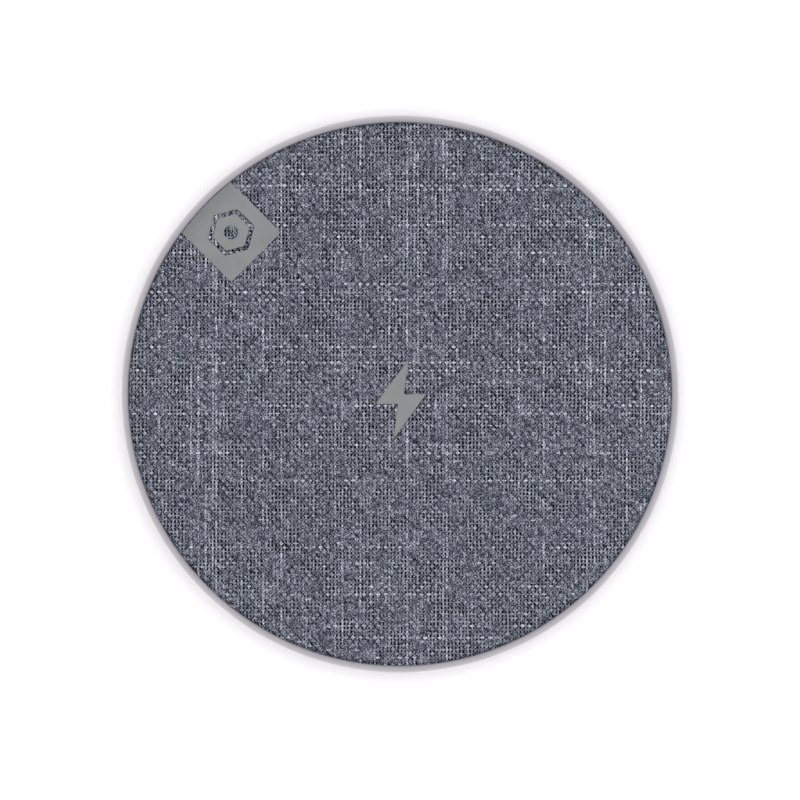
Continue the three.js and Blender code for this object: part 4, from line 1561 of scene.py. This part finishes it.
def finish_model_pieces(ferrite):
    """Gives the plain inner pieces their materials, and softens their hard edges."""
    wire = grained("wire_jacket", (0.74, 0.72, 0.66), 0.2 * MM, 0.01 * MM, (0.35, 0.5), spread=0.04)
    steel = turned_metal("screw_steel", (0.42, 0.42, 0.44), (0.62, 0.62, 0.64), 0.3, 0.004 * MM)
    adhesive = grained(
        "adhesive_film", (0.68, 0.64, 0.55), 0.6 * MM, 0.02 * MM, (0.35, 0.6),
        spread=0.05, Coat_Weight=0.2)
    tape = grained(
        "amber_tape", (0.56, 0.25, 0.02), 1.5 * MM, 0.02 * MM, (0.12, 0.22),
        spread=0.12, Coat_Weight=0.6)
    glaze = grained("thermistor_glaze", (0.012, 0.012, 0.014), 0.1 * MM, 0.01 * MM, (0.25, 0.4))
    looks = {
        "top_plate": housing_plastic("top_plate_plastic", 0.03 * MM),
        "fabric_adhesive": adhesive,
        "circuit_board": board_material(),
        "ferrite_plate": ferrite,
        "coil_tape": tape,
        "thermistor": glaze,
        "thermistor_lead_1": wire,
        "thermistor_lead_2": wire,
        "thermistor_plug": wire,
    }
    for number in range(1, 5):
        looks[f"screw_{number}"] = steel
    for node, material in looks.items():
        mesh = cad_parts[node].data
        mesh.materials.clear()
        mesh.materials.append(material)
        smooth(mesh, 40)
    for node in ("top_plate", "ferrite_plate", "circuit_board", "thermistor_plug", "thermistor"):
        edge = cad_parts[node].modifiers.new("soft_edges", "BEVEL")
        edge.width = 0.06 * MM
        edge.segments = 2
        edge.limit_method = "ANGLE"
        edge.angle_limit = math.radians(50)


# ---------------------------------------------------------------- studio

def make_floor():
    corners = [
        (FLOOR_HALF * x, FLOOR_HALF * y, -FLOOR_GAP)
        for x, y in ((-1, -1), (1, -1), (1, 1), (-1, 1))
    ]
    mesh = new_mesh("floor", corners, [(0, 1, 2, 3)])
    floor = bpy.data.objects.new("floor", mesh)
    bpy.context.scene.collection.objects.link(floor)
    mesh.materials.append(floor_material())


def make_world():
    """Light from all round: white at the horizon, greyer overhead."""
    world = bpy.data.worlds.new("studio")
    bpy.context.scene.world = world
    world.use_nodes = True
    tree = world.node_tree
    tree.nodes.clear()
    coordinates = tree.nodes.new("ShaderNodeTexCoord")
    split = tree.nodes.new("ShaderNodeSeparateXYZ")
    ramp = tree.nodes.new("ShaderNodeValToRGB")
    background = tree.nodes.new("ShaderNodeBackground")
    output = tree.nodes.new("ShaderNodeOutputWorld")
    tree.links.new(coordinates.outputs["Generated"], split.inputs["Vector"])
    tree.links.new(split.outputs["Z"], ramp.inputs["Fac"])
    tree.links.new(ramp.outputs["Color"], background.inputs["Color"])
    tree.links.new(background.outputs["Background"], output.inputs["Surface"])
    set_stops(ramp.color_ramp, WORLD_STOPS)


def make_lamp():
    """A wide soft lamp overhead, a little to the back right, that no surface mirrors."""
    lamp = bpy.data.objects.new("softbox", bpy.data.lights.new("softbox", "AREA"))
    bpy.context.scene.collection.objects.link(lamp)
    lamp.data.size = LAMP_SIZE
    lamp.data.energy = LAMP_POWER
    lamp.location = LAMP_PLACE
    lamp.rotation_euler = Vector(LAMP_PLACE).to_track_quat("Z", "Y").to_euler()
    lamp.visible_glossy = False
    lamp.visible_camera = False


def make_camera():
    """Straight down, with the pad's middle just above the middle of the frame."""
    camera = bpy.data.objects.new("camera", bpy.data.cameras.new("camera"))
    bpy.context.scene.collection.objects.link(camera)
    width = 2 * PAD_RADIUS / PAD_SHARE
    camera.data.type = "ORTHO"
    camera.data.ortho_scale = width
    camera.location = (0.0, -PAD_RISE * width, CAMERA_DISTANCE)
    bpy.context.scene.camera = camera
    bpy.context.scene.view_settings.view_transform = "Standard"


make_camera()
make_world()
make_lamp()
make_floor()
make_ring()
make_cloth()
make_tab_and_mark()
make_port_shell()
make_port_tongue()
make_light_guide()
make_base()
make_foot_ring()
ferrite = ferrite_material()
make_board_parts(ferrite)
make_coil_leads(make_coil())
make_foam()
finish_model_pieces(ferrite)
